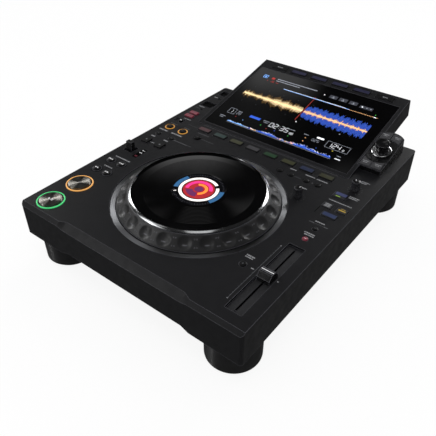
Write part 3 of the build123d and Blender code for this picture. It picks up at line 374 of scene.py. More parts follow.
# Mesh tools. All sizes in millimetres; a frame matrix sets a piece on the deck or the slope.
def addPiece(name, mesh, body, crease):
    mesh.polygons.foreach_set("use_smooth", [True] * len(mesh.polygons))
    mesh.set_sharp_from_angle(angle=math.radians(crease))
    piece = bpy.data.objects.new(name, mesh)
    bpy.context.scene.collection.objects.link(piece)
    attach(piece, body)
    return piece


def finishPiece(name, shape, materials, body, place=None, crease=40):
    bmesh.ops.recalc_face_normals(shape, faces=shape.faces)
    mesh = bpy.data.meshes.new(name)
    shape.to_mesh(mesh)
    shape.free()
    mesh.transform(Matrix.Scale(0.001, 4))
    if place is not None:
        mesh.transform(place)
    for one in materials:
        mesh.materials.append(one)
    return addPiece(name, mesh, body, crease)


def standIn(node, name, shape, material, crease=40, place=None):
    # A new shape in place of a CAD part, on the same body.
    body, slot = bodyOfNode[node], slotOfNode[node]
    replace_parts(finishPiece(name, shape, [material], body, place, crease), node)


def softened(node, width, material, segments=2):
    # A copy of a CAD part whose sharp edges are rounded as a moulding's are.
    shape = bmesh.new()
    shape.from_mesh(nodes[node].data)
    bmesh.ops.remove_doubles(shape, verts=shape.verts, dist=1e-6)
    bmesh.ops.dissolve_limit(
        shape, angle_limit=math.radians(0.4), verts=shape.verts, edges=shape.edges
    )
    sharp = [
        edge
        for edge in shape.edges
        if len(edge.link_faces) == 2 and edge.calc_face_angle(0) > math.radians(32)
    ]
    bmesh.ops.bevel(
        shape,
        geom=sharp,
        offset=width / 1000,
        offset_type="OFFSET",
        segments=segments,
        profile=0.6,
        affect="EDGES",
        clamp_overlap=True,
    )
    bmesh.ops.triangulate(shape, faces=[f for f in shape.faces if len(f.verts) > 4])
    mesh = bpy.data.meshes.new(node + "Soft")
    shape.to_mesh(mesh)
    shape.free()
    mesh.materials.append(material)
    piece = addPiece(node + "Soft", mesh, bodyOfNode[node], 50)
    flatten = piece.modifiers.new("flatten", "WEIGHTED_NORMAL")
    flatten.keep_sharp = True
    flatten.weight = 100
    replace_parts(piece, node)


def onCircle(x, y, radius, angle):
    return (x + radius * math.cos(angle), y + radius * math.sin(angle))


def roundCorners(points, radius, steps=3):
    # Rounds each inner corner of an open line of points.
    result = [points[0]]
    for before, corner, after in zip(points, points[1:], points[2:]):
        a, b, c = Vector(before), Vector(corner), Vector(after)
        reach = min(radius, (a - b).length * 0.45, (c - b).length * 0.45)
        start = b + (a - b).normalized() * reach
        end = b + (c - b).normalized() * reach
        for step in range(steps + 1):
            t = step / steps
            result.append(tuple(start * (1 - t) ** 2 + b * 2 * t * (1 - t) + end * t**2))
    result.append(points[-1])
    return result


def turnInto(shape, profile, middle, segments, closed=False, ripple=None, material=0):
    # Turns a profile of (radius, height) round an upright axis at the middle.
    rows = []
    for radius, height in profile:
        if radius < 1e-6:
            rows.append([shape.verts.new((*middle, height))])
            continue
        rows.append([])
        for step in range(segments):
            angle = 2 * math.pi * step / segments
            reach = radius * (ripple(angle, radius, height) if ripple else 1)
            rows[-1].append(shape.verts.new((*onCircle(*middle, reach, angle), height)))
    if closed:
        rows.append(rows[0])
    for low, high in zip(rows, rows[1:]):
        if len(low) == 1 and len(high) == 1:
            continue
        for step in range(segments):
            after = (step + 1) % segments
            if len(low) == 1:
                corners = (low[0], high[step], high[after])
            elif len(high) == 1:
                corners = (low[step], low[after], high[0])
            else:
                corners = (low[step], low[after], high[after], high[step])
            shape.faces.new(corners).material_index = material


def prismInto(shape, outline, low, high):
    # A straight block over an outline.
    below = [shape.verts.new((x, y, low)) for x, y in outline]
    above = [shape.verts.new((x, y, high)) for x, y in outline]
    shape.faces.new(above)
    shape.faces.new(below[::-1])
    for step in range(len(outline)):
        after = (step + 1) % len(outline)
        shape.faces.new((below[step], below[after], above[after], above[step]))


def roundedOutline(x, y, width, length, radius, steps=4):
    outline = []
    for cornerX, cornerY, start in ((1, 1, 0), (-1, 1, 90), (-1, -1, 180), (1, -1, 270)):
        for step in range(steps + 1):
            angle = math.radians(start + 90 * step / steps)
            across, along = cornerX * (width / 2 - radius), cornerY * (length / 2 - radius)
            dx, dy = onCircle(across, along, radius, angle)
            outline.append((x + dx, y + dy))
    return outline


def bar(x, y, width, length, turn=0.0):
    cosine, sine = math.cos(math.radians(turn)), math.sin(math.radians(turn))
    return [
        (
            x + sx * width / 2 * cosine - sy * length / 2 * sine,
            y + sx * width / 2 * sine + sy * length / 2 * cosine,
        )
        for sx, sy in ((-1, -1), (1, -1), (1, 1), (-1, 1))
    ]


def dot(x, y, radius, steps=14):
    return [onCircle(x, y, radius, 2 * math.pi * step / steps) for step in range(steps)]


def arrowHead(x, y, size, turn):
    # A triangle that points along the turn, in degrees from +X.
    return [onCircle(x, y, size * 0.6, math.radians(turn + angle)) for angle in (0, 125, -125)]


def arcBand(x, y, inner, outer, start, end, steps=24):
    # A bent band between two radii, as a list of four-cornered pieces.
    pieces = []
    for step in range(steps):
        a = math.radians(start + (end - start) * step / steps)
        b = math.radians(start + (end - start) * (step + 1) / steps)
        corners = ((inner, a), (outer, a), (outer, b), (inner, b))
        pieces.append([onCircle(x, y, radius, angle) for radius, angle in corners])
    return pieces


def printMarks(name, outlines, ink, place, height=0.0, thickness=0.05, body="case"):
    # Thin raised marks: each outline becomes a sliver of ink.
    shape = bmesh.new()
    for outline in outlines:
        prismInto(shape, outline, height, height + thickness)
    finishPiece(name, shape, [ink], body, place, 20)


def dashes(left, right, y, height, seed):
    # A label as a row of plain little bars, with no letters.
    spread = Random(seed)
    row = []
    x = left
    while x < right - 0.4:
        width = min(spread.uniform(0.7, 2.1), right - x)
        row.append(bar(x + width / 2, y, width, height))
        x += width + spread.uniform(0.3, 0.75)
    return row


def frameOutline(left, right, low, high, line):
    x, y = (left + right) / 2, (low + high) / 2
    width, length = right - left, high - low
    level = [bar(x, edge, width, line) for edge in (low, high)]
    return level + [bar(edge, y, line, length) for edge in (left, right)]


# Where each bar of a number sits: x and y of its middle, width and length
segmentBars = {
    "a": (0.5, 2.0, 0.9, 0.0),
    "b": (1.0, 1.5, 0.0, 0.9),
    "c": (1.0, 0.5, 0.0, 0.9),
    "d": (0.5, 0.0, 0.9, 0.0),
    "e": (0.0, 0.5, 0.0, 0.9),
    "f": (0.0, 1.5, 0.0, 0.9),
    "g": (0.5, 1.0, 0.9, 0.0),
}
segmentDigits = "abcdef bc abdeg abcdg bcfg acdfg acdefg abc abcdefg abcdfg".split()


def digits(text, x, y, height, stroke=0.1):
    # Numbers in thin bars, seven at most; a colon is two dots.
    marks = []
    unit = height / 2.0
    line = stroke * height * 0.7
    for sign in text:
        if sign == ":":
            for lift in (0.55, 1.45):
                marks.append(dot(x + 0.15 * unit, y + lift * unit, line * 0.62, 8))
            x += 0.75 * unit
            continue
        for part in segmentDigits[int(sign)]:
            px, py, width, length = segmentBars[part]
            size = (max(width * unit * 1.15, line), max(length * unit, line))
            marks.append(bar(x + px * unit * 1.15, y + py * unit, *size))
        x += 1.72 * unit
    return marks


# Mouldings and sheet parts that keep their CAD shape, with the radius of their rounded edges
roundedParts = {
    "upper_case": (0.5, "case"),
    "lower_case": (0.4, "lower"),
    "display_housing": (0.6, "case"),
    "selector_pod": (0.35, "pod"),
    "rear_panel": (0.25, "panel"),
    "foot_pads": (0.4, "pad"),
    "ac_inlet": (0.2, "lower"),
    "case_screws": (0.25, "steel"),
    "lcd_module": (0.3, "steel"),
    "jog_hub": (0.3, "lower"),
    "power_button": (0.3, "knob"),
    "pod_buttons": (0.35, "podKey"),
}
for node, (edge, finish) in roundedParts.items():
    softened(node, edge, finishes[finish])
# The boards and the supply keep their CAD mesh and only take the finish of the real material
keptParts = {"main_board": "board", "control_board": "board", "power_supply": "supply"}
for node, finish in keptParts.items():
    target = nodes[node]
    for place in target.material_slots:
        place.material = finishes[finish]
    if not target.material_slots:
        target.data.materials.append(finishes[finish])
print("stage 3: mouldings softened")


# Feet: broad polished drums with a rounded foot and a shallow step under the case
footSpec = {
    "columns": (-130.3, 130.3),
    "rows": (layout["frontY"] + 34.5, layout["rearY"] - 30.7),
    "profile": [(0.0, 3.0), (31.5, 3.0), (31.7, 34.0), (30.9, 34.6), (30.9, 38.0), (0.0, 38.0)],
    "round": 1.6,
}
feet = bmesh.new()
for column in footSpec["columns"]:
    for row in footSpec["rows"]:
        turnInto(feet, roundCorners(footSpec["profile"], footSpec["round"], 4), (column, row), 96)
standIn("feet", "footDrums", feet, finishes["foot"], 30)


# Jog wheel: a dial with a dimpled grip, a chromed rim, a grooved top plate and a still readout
jogMiddle = (0.0, layout["jogY"])
jogSpec = {
    "outer": 99.4,
    "inner": 84.1,
    "foot": 84.6,
    "top": 97.0,
    "across": 576,
    "slopeSteps": 36,
    "endFall": (0.5, 1.2),
    "under": [(92.0, 87.8), (96.0, 80.5), (99.4, 80.5), (99.4, 84.3)],
    "inside": [
        (84.1, 97.0), (84.1, 94.0), (70.1, 94.0), (70.1, 90.5), (32.0, 90.4), (28.1, 90.4),
        (28.1, 66.0), (31.4, 66.0), (31.4, 88.0), (84.0, 88.0), (92.0, 87.8),
    ],
}
dimpleSpec = {
    "count": 24,
    "sphere": 14.0,
    "depth": 2.4,
    "blend": 1.2,
    "dotRadius": 0.6,
    "dotsAlong": (-4.6, 4.6),
    "dotsAside": (-1.3, 1.3),
}


def dimpleSink(distance):
    # How far the grip sinks at a distance from the middle of a dimple, with a soft lip.
    flat, blend = dimpleSpec["sphere"] - dimpleSpec["depth"], dimpleSpec["blend"]
    edge = math.sqrt(dimpleSpec["sphere"] ** 2 - flat**2) + blend
    if distance >= edge:
        return 0.0
    sink = math.sqrt(max(dimpleSpec["sphere"] ** 2 - distance**2, 0.0)) - flat
    soft = blend * 0.22
    return 0.5 * (sink + math.sqrt(sink * sink + soft * soft)) * min(1.0, (edge - distance) / 0.8)


def jogDial():
    spec, across = jogSpec, jogSpec["across"]
    run = spec["outer"] - spec["inner"]
    climb = spec["top"] - spec["foot"]
    length = math.hypot(run, climb)
    inward, downward = climb / length, run / length
    pitch = 2 * math.pi / dimpleSpec["count"]
    shape = bmesh.new()

    def newRow(points):
        return [shape.verts.new(point) for point in points]

    def plainRow(radius, height):
        angles = [2 * math.pi * step / across for step in range(across)]
        return newRow([(*onCircle(*jogMiddle, radius, angle), height) for angle in angles])

    rows = [plainRow(*point) for point in roundCorners(spec["under"], 0.8)]
    for stepUp in range(spec["slopeSteps"] + 1):
        share = stepUp / spec["slopeSteps"]
        radius = spec["outer"] - run * share
        height = spec["foot"] + climb * share
        # The two ends of the slope turn over softly
        deepest, reach = spec["endFall"]
        fall = deepest * max(0.0, 1 - min(share, 1 - share) * length / reach) ** 2
        points = []
        for step in range(across):
            angle = 2 * math.pi * step / across
            aside = ((angle + pitch / 2) % pitch - pitch / 2) * radius
            depth = dimpleSink(math.hypot(aside, (share - 0.5) * length)) + fall
            place = onCircle(*jogMiddle, radius - depth * inward, angle)
            points.append((*place, height - depth * downward))
        rows.append(newRow(points))
    rows += [plainRow(*point) for point in roundCorners(spec["inside"], 0.3, 1)[:-1]]
    rows.append(rows[0])
    for low, high in zip(rows, rows[1:]):
        for step in range(across):
            after = (step + 1) % across
            shape.faces.new((low[step], low[after], high[after], high[step]))
    # Pairs of small raised dots between the dimples
    for index in range(dimpleSpec["count"]):
        for along in dimpleSpec["dotsAlong"]:
            share = along / length + 0.5
            radius = spec["outer"] - run * share
            for aside in dimpleSpec["dotsAside"]:
                angle = pitch * (index + 0.5) + aside / radius
                place = (*onCircle(*jogMiddle, radius, angle), spec["foot"] + climb * share)
                bmesh.ops.create_icosphere(
                    shape,
                    subdivisions=2,
                    radius=dimpleSpec["dotRadius"],
                    matrix=Matrix.Translation(place),
                )
    standIn("jog_dial", "jogDialGrip", shape, finishes["dial"])


jogDial()

rimSpec = {
    "profile": [
        (82.8, 94.05), (84.0, 94.05), (84.0, 98.0), (80.9, 99.8), (80.7, 99.3), (81.6, 99.25),
        (81.6, 94.05), (82.8, 94.05),
    ],
    "round": 0.35,
}
rim = bmesh.new()
turnInto(rim, roundCorners(rimSpec["profile"], rimSpec["round"])[:-1], jogMiddle, 256, closed=True)
standIn("jog_rim", "jogRimChrome", rim, finishes["rim"], 12)

plateSpec = {
    "inner": [(32.8, 94.1), (32.8, 96.6), (33.2, 97.0)],
    "outer": [(81.0, 97.0), (81.4, 96.6), (81.4, 94.1)],
    "grooves": (37.0, 66.0, 2.4),  # first radius, last radius, pitch: coarser than real, to show
    "groove": ((-0.6, 97.0), (-0.08, 96.9), (0.08, 96.9), (0.6, 97.0)),
}
plate = bmesh.new()
plateLine = list(plateSpec["inner"])
grooveRadius, lastRadius, groovePitch = plateSpec["grooves"]
while grooveRadius < lastRadius:
    plateLine += [(grooveRadius + offset, height) for offset, height in plateSpec["groove"]]
    grooveRadius += groovePitch
turnInto(plate, plateLine + plateSpec["outer"], jogMiddle, 192, closed=True)
standIn("jog_plate", "jogTopPlate", plate, finishes["plate"], 5)

bezelLook = {
    "dark": "#86878a",
    "light": "#98999c",
    "ring": 0.5,  # real tool marks are 0.1 mm apart, drawn coarser so that they show
    "roughness": 0.34,
    "stretch": 1.0,
    "bump": 0.02,
}
finishes["bezel"] = turnedAluminium("anodisedAluminium", (*jogMiddle, 83.0), bezelLook)
softened("jog_bezel", 0.4, finishes["bezel"])

# Round readout in the middle of the wheel: generic rings and arcs of lit bands, no picture
readoutSpec = {
    "glass": [(0.0, 91.6), (32.4, 91.6), (32.4, 97.0), (0.0, 97.0)],
    "ring": (20.6, 24.5, 55.0, 401.0, 96),  # open at the notch
    "disc": 19.2,
    "outerBand": (12.6, 16.8, 20, 205, 48),
    "middleBand": (7.4, 11.2, -60, 130, 48),
    "innerBand": (7.4, 15.6, 215, 292, 32),
    "arcs": ((25.6, 31.2, 155, 206, 24), (25.6, 31.2, -26, 25, 24)),
    "tickRadius": 29.6,
}
readout = bmesh.new()
turnInto(readout, roundCorners(readoutSpec["glass"], 0.4, 2), jogMiddle, 128)
standIn("jog_display", "jogReadout", readout, finishes["readoutGlass"], 30)
readoutFrame = Matrix.Translation((0, layout["jogY"] / 1000, 0.0970))
readoutInks = {
    "readoutWhite": ("#dcd6d2", "#eae5e1", 0.6, 6.0),
    "readoutRed": ("#7e0f16", "#9a151b", 0.75, 5.0),
    "readoutMagenta": ("#c4176c", "#de2f80", 0.8, 5.0),
    "readoutOrange": ("#d9621c", "#ee8430", 0.8, 5.0),
    "readoutPlum": ("#4a1540", "#5f1c50", 0.7, 5.0),
    "readoutBlue": ("#1d4a72", "#285e8a", 0.45, 5.0),
    "readoutDim": ("#33343a", "#42434a", 0.5, 3.0),
}
glow = {name: screenInk(name, *ink) for name, ink in readoutInks.items()}
readoutTicks = []
for step in range(60):
    angle = step * 6
    if 30 <= angle <= 150 or 212 <= angle <= 330:
        place = onCircle(0, 0, readoutSpec["tickRadius"], math.radians(angle))
        readoutTicks.append(bar(*place, 1.8 if step % 5 else 3.0, 0.35, angle))
innerBand = arcBand(0, 0, *readoutSpec["innerBand"]) + [dot(0, 0, 5.4, 36)]
arcs = [piece for arc in readoutSpec["arcs"] for piece in arcBand(0, 0, *arc)]
for name, outlines, ink, height, thickness in (
    ("Ring", arcBand(0, 0, *readoutSpec["ring"]), "White", 0.0, 0.08),
    ("Disc", [dot(0, 0, readoutSpec["disc"], 64)], "Red", 0.0, 0.08),
    ("BandOuter", arcBand(0, 0, *readoutSpec["outerBand"]), "Magenta", 0.02, 0.09),
    ("BandMiddle", arcBand(0, 0, *readoutSpec["middleBand"]), "Orange", 0.02, 0.09),
    ("BandInner", innerBand, "Plum", 0.02, 0.09),
    ("Arcs", arcs, "Blue", 0.0, 0.08),
    ("Ticks", readoutTicks, "Dim", 0.0, 0.08),
    ("Pointer", [bar(-21.2, -19.3, 3.6, 1.2, 42)], "White", 0.0, 0.08),
):
    printMarks("readout" + name, outlines, glow["readout" + ink], readoutFrame, height, thickness)
print("stage 4: jog wheel built")


# Glowing rings: wide ones round play and cue, each with a black collar that paints the shade in
# the gap between disc and ring, narrow ones round the loop keys
ringSpec = {
    "foot": 80.0,
    "round": 0.5,
    "wide": {"inner": 15.5, "outer": 17.1, "top": 85.2, "segments": 96},
    "narrow": {"inner": 5.9, "outer": 7.2, "top": 84.7, "segments": 48},
    # black collar inside the wide rings: painted shade of the gap between disc and ring
    "collarAndPaintedShade": [(14.2, 80.0), (14.2, 84.8), (15.48, 84.8), (15.48, 80.0)],
}
ringColours = {
    "play_button": ("wide", "playRing", "#2a9c54", "#46ba70", 0.72),
    "cue_button": ("wide", "cueRing", "#b8803c", "#d09a58", 0.72),
    "loop_in_button": ("narrow", "loopInRing", "#a06c22", "#c89038", 0.5),
    "loop_out_button": ("narrow", "loopOutRing", "#a06c22", "#c89038", 0.5),
}
ringPieces = []
for key, (kind, name, *colours) in ringColours.items():
    size, foot = ringSpec[kind], ringSpec["foot"]
    inner, outer, top = size["inner"], size["outer"], size["top"]
    line = [(inner, foot), (inner, top), (outer, top), (outer, foot), (inner, foot)]
    shape = bmesh.new()
    rounded = roundCorners(line, ringSpec["round"])[:-1]
    turnInto(shape, rounded, middleOf(key), size["segments"], closed=True)
    if kind == "wide":
        # the dark collar stands in for the shaded gap: painted shade
        turnInto(shape, ringSpec["collarAndPaintedShade"], middleOf(key), 96, closed=True, material=1)
    materials = [glowingRing("opalPolycarbonate" + name, *colours), finishes["knob"]]
    ringPieces.append(finishPiece(name, shape, materials, "case"))
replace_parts(ringPieces[0], "light_rings")

# Play and cue keys: spun discs, a little dished
discSpec = {
    "foot": 76.9,
    "radius": 13.8,
    "top": 86.6,
    "dish": 0.35,
    "edge": [(13.8, 85.9), (13.55, 86.4), (13.1, 86.6), (12.2, 86.6)],
    "names": {"play_button": "Play", "cue_button": "Cue"},
    "metal": {
        "dark": "#6c6a65",
        "light": "#b4b1a9",
        "ring": 0.55,  # coarser than real, as on the bezel
        "roughness": 0.36,
        "stretch": 1.0,
        "bump": 0.05,
    },
}
radius, top, dish = discSpec["radius"], discSpec["top"], discSpec["dish"]
discLine = [(0.0, discSpec["foot"]), (radius, discSpec["foot"]), *discSpec["edge"]]
discLine += [(radius * 0.6, top - dish * 0.6), (radius * 0.3, top - dish), (0.0, top - dish)]
for key, name in discSpec["names"].items():
    middle = (*middleOf(key), top)
    shape = bmesh.new()
    turnInto(shape, discLine, middle[:2], 96)
    metal = turnedAluminium("spunAluminium" + name, middle, discSpec["metal"])
    standIn(key, key + "Disc", shape, metal, 30)


# Round keys: low domes, as radius, top and crown
skipKeys = [f"{kind}_{way}_button" for kind in ("search", "track") for way in ("back", "forward")]
domeKeys = {
    **dict.fromkeys(skipKeys, (5.5, 86.2, 1.0)),
    "reloop_button": (5.0, 86.0, 0.7),
    "slip_button": (3.5, 85.2, 0.5),
    "loop_in_button": (5.5, 86.0, 0.9),
    "loop_out_button": (5.5, 86.0, 0.9),
    "tempo_range_button": (3.3, 85.2, 0.5),
    "master_tempo_button": (3.3, 85.2, 0.5),
    "tempo_reset_button": (4.1, 85.2, 0.6),
    "memory_buttons": (3.6, 85.2, 0.5),
    "loop_length_buttons": (4.5, 85.2, 0.6),
    "port_stop_buttons": (2.5, 85.2, 0.5),
}
# Keys that share one node each have a place of their own
sharedPlaces = {
    "memory_buttons": [(43.8, 13.69), (60.8, 13.69), (83.2, 13.69), (99.7, 13.69)],
    "loop_length_buttons": [fromLeft(17.5, 223.6), fromLeft(42.3, 223.6)],
    "port_stop_buttons": [fromLeft(17.5, 321.0), fromLeft(17.5, 366.2)],
    "jump_buttons": [fromLeft(17.5, 199.3), fromLeft(42.3, 199.3)],
}
domeSpec = {"foot": 78.5, "steps": 7, "segments": 40}
for key, (radius, top, crown) in domeKeys.items():
    line = [(0.0, domeSpec["foot"]), (radius, domeSpec["foot"]), (radius, top - crown)]
    for step in range(1, domeSpec["steps"]):
        angle = math.pi / 2 * step / domeSpec["steps"]
        line.append((radius * math.cos(angle), top - crown + crown * math.sin(angle)))
    line.append((0.0, top))
    shape = bmesh.new()
    for place in sharedPlaces.get(key, [middleOf(key)]):
        turnInto(shape, line, place, domeSpec["segments"])
    finish = finishes["redKey" if key == "master_tempo_button" else "key"]
    standIn(key, key + ("Domes" if key in sharedPlaces else "Dome"), shape, finish)

# Square keys: rounded caps
squareKeys = (
    ("key", ["jump_buttons"]),
    ("redKey", ["quantize_button", "time_button"]),
    ("greyKey", ["jog_mode_button", "sync_button", "master_button", "key_button"]),
    ("key", ["hot_cue_" + letter for letter in "abcdefgh"] + ["menu_buttons"]),
)
for finish, keys in squareKeys:
    for key in keys:
        softened(key, 0.45, finishes[finish], 3)
# Tinted films that lie on some of them
tints = {
    "modeFilm": ("#20284a", "#343c66", 0.12),
    "keyFilm": ("#152140", "#1d2c50", 0.08),
    "cueA": ("#341519", "#421e24", 0.04),
    "cueB": ("#102422", "#162f2c", 0.04),
    "cueC": ("#272813", "#33341a", 0.04),
    "cueD": ("#29282b", "#353437", 0.04),
    "cueE": ("#0f2c17", "#163a1f", 0.04),
    "cueF": ("#272813", "#33341a", 0.04),
    "cueG": ("#131b33", "#1a2440", 0.04),
    "cueH": ("#232411", "#2d2e17", 0.04),
    "menuFilm": ("#14142c", "#1e1e3c", 0.05),
}
for tint, colours in tints.items():
    name = "tintedPolycarbonate" + tint[0].upper() + tint[1:]
    finishes[tint] = litPolycarbonate(name, *colours)
print("stage 5: keys built")


# Knobs: tapered caps with fine flutes round the side and a white pointer
knobSpec = {
    "profile": [
        (0.0, 78.5), (3.0, 78.5), (3.0, 84.45), (5.9, 84.45), (6.0, 84.8), (6.0, 86.2),
        (5.6, 87.2), (5.4, 95.8), (5.3, 96.6), (4.9, 97.3), (4.2, 97.5), (0.0, 97.4),
    ],
    "flutes": 20,
    "fluteDepth": 0.09,
    "fluted": (4.9, 96.3),  # only wider than this and below this
    "pointer": (2.9, 0, 3.0, 0.9),
    "pointerTurns": {"vinyl_speed_knob": 128.0, "jog_adjust_knob": 64.0},
}


def fluted(angle, radius, height):
    narrowest, highest = knobSpec["fluted"]
    depth = knobSpec["fluteDepth"] if radius > narrowest and height < highest else 0.0
    return 1 - depth * (0.5 + 0.5 * math.cos(knobSpec["flutes"] * angle))


for key, turn in knobSpec["pointerTurns"].items():
    x, y = middleOf(key)
    shape = bmesh.new()
    turnInto(shape, knobSpec["profile"], (x, y), 144, ripple=fluted)
    standIn(key, key + "Cap", shape, finishes["knob"])
    lift = Matrix.Translation((x / 1000, y / 1000, 0.0974))
    place = lift @ Matrix.Rotation(math.radians(turn), 4, "Z")
    pointer = [bar(*knobSpec["pointer"])]
    printMarks(key + "Pointer", pointer, finishes["white"], place, 0.0, 0.08, bodyOfNode[key])

# Rotary selector: a lobed cap over a bright skirt, on the pod's slope
selectorSpec = {
    "middle": (135.8, 66.8),
    "skirt": [
        (0.0, -0.95), (12.2, -0.95), (13.0, -0.5), (12.9, 0.3), (12.0, 0.95), (10.6, 1.0),
        (0.0, 1.0),
    ],
    "cap": [
        (0.0, 0.9), (8.4, 0.9), (8.7, 1.3), (8.6, 2.0), (8.2, 3.0), (8.3, 6.0), (8.9, 9.6),
        (9.4, 11.6), (9.4, 12.6), (9.0, 13.4), (8.2, 13.8), (6.8, 13.7), (5.4, 13.3), (0.0, 13.1),
    ],
    "lobes": 8,
    "lobeDepth": 0.1,
    "lobed": (7.0, 1.6, 13.2),  # only wider than the first, between the two heights
}
shape = bmesh.new()
turnInto(shape, selectorSpec["skirt"], selectorSpec["middle"], 96)
finishPiece(
    "selectorSkirt", shape, [finishes["skirt"]], "selector_dial", slopeFrame
)


def selectorLobes(angle, radius, height):
    # Thumb lobes that fade out at the foot and at the crown.
    narrowest, lowest, highest = selectorSpec["lobed"]
    if radius < narrowest or not lowest < height < highest:
        return 1.0
    wave = 0.5 - 0.5 * math.cos(selectorSpec["lobes"] * angle)
    return 1 - selectorSpec["lobeDepth"] * wave**1.6


shape = bmesh.new()
turnInto(shape, selectorSpec["cap"], selectorSpec["middle"], 216, ripple=selectorLobes)
standIn("selector_knob", "selectorCap", shape, finishes["selector"], place=slopeFrame)

# Tempo fader: a waisted cap with a ribbed front and a white index line
faderX, faderY = fromRight(24.5, 76.3)
faderSpec = {
    "halfLength": 8.3,
    "halfRidge": 3.5,
    "low": 81.3,
    "waist": 87.4,
    "top": 92.3,
    "ribs": 4,
    "sides": ((-7.5, 0.97), (-7.76, 1.0), (7.76, 1.0), (7.5, 0.97)),  # x and share of the outline
    "stem": ((1.6, 8.0, 78.6, 81.4), (10.0, 14.0, 75.6, 78.8)),
    "track": (4.9, 7.6, 112.0),
}
halfLength, halfRidge = faderSpec["halfLength"], faderSpec["halfRidge"]
low, waist, top = faderSpec["low"], faderSpec["waist"], faderSpec["top"]
sideLine = [(-halfLength, low), (-halfLength, waist - 1.2)]
for rib in range(faderSpec["ribs"]):
    share = rib / faderSpec["ribs"]
    y = -halfLength + (halfLength - halfRidge) * share
    z = waist - 1.2 + (top - waist + 1.0) * share
    sideLine += [(y, z + 0.55), (y + 0.75, z + 1.35)]
sideLine += [
    (-halfRidge, top - 0.2),
    (-halfRidge + 0.4, top),
    (halfRidge - 0.4, top),
    (halfRidge, top - 0.3),
    (halfRidge + 1.6, waist + 1.2),
    (halfLength, waist - 0.6),
    (halfLength, low),
]
shape = bmesh.new()
rows = []
for x, share in faderSpec["sides"]:
    points = [(faderX + x, faderY + y * share, low + (z - low) * share) for y, z in sideLine]
    rows.append([shape.verts.new(point) for point in points])
for left, right in zip(rows, rows[1:]):
    for step in range(len(sideLine)):
        after = (step + 1) % len(sideLine)
        shape.faces.new((left[step], left[after], right[after], right[step]))
shape.faces.new(rows[0])
shape.faces.new(rows[-1][::-1])
bmesh.ops.triangulate(shape, faces=[f for f in shape.faces if len(f.verts) > 4])
for width, length, low, high in faderSpec["stem"]:
    prismInto(shape, roundedOutline(faderX, faderY, width, length, 0.4), low, high)
standIn("tempo_slider", "faderCap", shape, finishes["knob"], 30)
faderTop = Matrix.Translation((0, 0, 0.0923))
edges = [bar(faderX, faderY + dy, 14.6, 0.7) for dy in (-2.3, 2.3)]
for name, outlines, ink, height in (
    ("Ridge", [bar(faderX, faderY, 14.6, 5.6)], "greyKey", 0.0),
    ("Edges", edges, "dimInk", 0.04),
    ("Index", [bar(faderX, faderY, 14.6, 1.0)], "white", 0.04),
):
    printMarks("fader" + name, outlines, finishes[ink], faderTop, height, body="fader")
offset, width, length = faderSpec["track"]
strips = [bar(faderX + side * offset, faderY, width, length) for side in (-1, 1)]
trackFrame = Matrix.Translation((0, 0, 0.081))
printMarks("faderTrack", strips, finishes["track"], trackFrame, 0.0, 0.06)
softened("direction_lever", 0.5, finishes["knob"], 3)
print("stage 6: knobs, fader and lever built")


# Display: black glass over a lit screen of generic wave forms, numbers and plain signs only
softened("display_glass", 0.2, finishes["glass"])
picture = {
    "seed": 11,
    "pitch": 0.84,  # of the wave's columns, coarser than a real screen's dots, to show
    "left": -104.0,
    "right": 103.4,
    "row": 92.0,
    "playLine": 1.0,
    "overview": (-86.0, 84.0, 22.4),  # left, right and foot of the strip along the bottom
}
# Height of each tone over the screen, its two colours, its glow and the size of its mottling
pixels = {
    "White": (0.08, "#dfe2ea", "#f4f6fb", 0.85, 2.0),
    "Grey": (0.08, "#7c808a", "#989ca6", 0.7, 2.0),
    "Dim": (0.0, "#24262c", "#34363e", 0.6, 3.0),
    "Cream": (0.05, "#dcbc7c", "#f6e2b6", 0.8, 1.4),
    "Ochre": (0.02, "#4a3514", "#86642e", 0.65, 1.2),
    "Navy": (0.02, "#0c1c54", "#1a3688", 0.7, 1.2),
    "Blue": (0.02, "#14348c", "#2b5acc", 0.78, 1.2),
    "Orange": (0.05, "#d08a4a", "#f2c48e", 0.8, 1.2),
    "Red": (0.08, "#7c1f1c", "#a02c26", 0.7, 2.0),
    "Green": (0.08, "#2f9a34", "#48c24c", 0.8, 2.0),
    "Yellow": (0.08, "#b8a828", "#dccc40", 0.8, 2.0),
    "Sky": (0.08, "#3c7ac8", "#8ab6f0", 0.8, 2.0),
}
random = Random(picture["seed"])
lit = {tone: [] for tone in pixels}


def paint(tone, *outlines):
    lit[tone] += outlines


pitch, row, playLine = picture["pitch"], picture["row"], picture["playLine"]
for column in range(int((picture["right"] - picture["left"]) / pitch)):
    # Every other column is a tall bright spike over a short dim one
    x = picture["left"] + column * pitch
    spike = column % 2 == 0
    shift = random.uniform(-0.5, 0.5)
    if abs(x - playLine) < 1.0:
        continue
    if x < playLine:
        beat = abs(math.sin((x - picture["left"]) * 0.19)) ** 3
        swell = 0.85 + 0.25 * math.sin((x + 60) * 0.06)
        tall = (7.4 + 3.8 * beat) * swell + random.uniform(-1.6, 3.2)
        core = min(tall * random.uniform(0.45, 0.8), 8.6) if spike else tall * 0.26
        paint("Ochre", bar(x, row + shift, pitch * 0.6, 2 * tall * (1.0 if spike else 0.6)))
        paint("Cream", bar(x, row, pitch * 0.8, 2 * core * (1.0 if x > -45 else 0.8)))
    else:
        beat = abs(math.sin((x - playLine) * 0.36))
        tall = (11.6 + 4.0 * beat + random.uniform(-1.4, 1.8)) * min(1.0, 0.7 + x / 40)
        core = (1.0 + 2.6 * (1 - beat) ** 2 + random.uniform(0.0, 1.8)) * (1.3 if spike else 0.6)
        length = 2 * tall * (1.05 if spike else 0.84)
        paint("Blue" if spike else "Navy", bar(x, row + shift, pitch * 0.86, length))
        paint("Orange", bar(x, row, pitch * 0.8, 2 * core))
        if spike:
            paint("Cream", bar(x, row, pitch * 0.7, core))
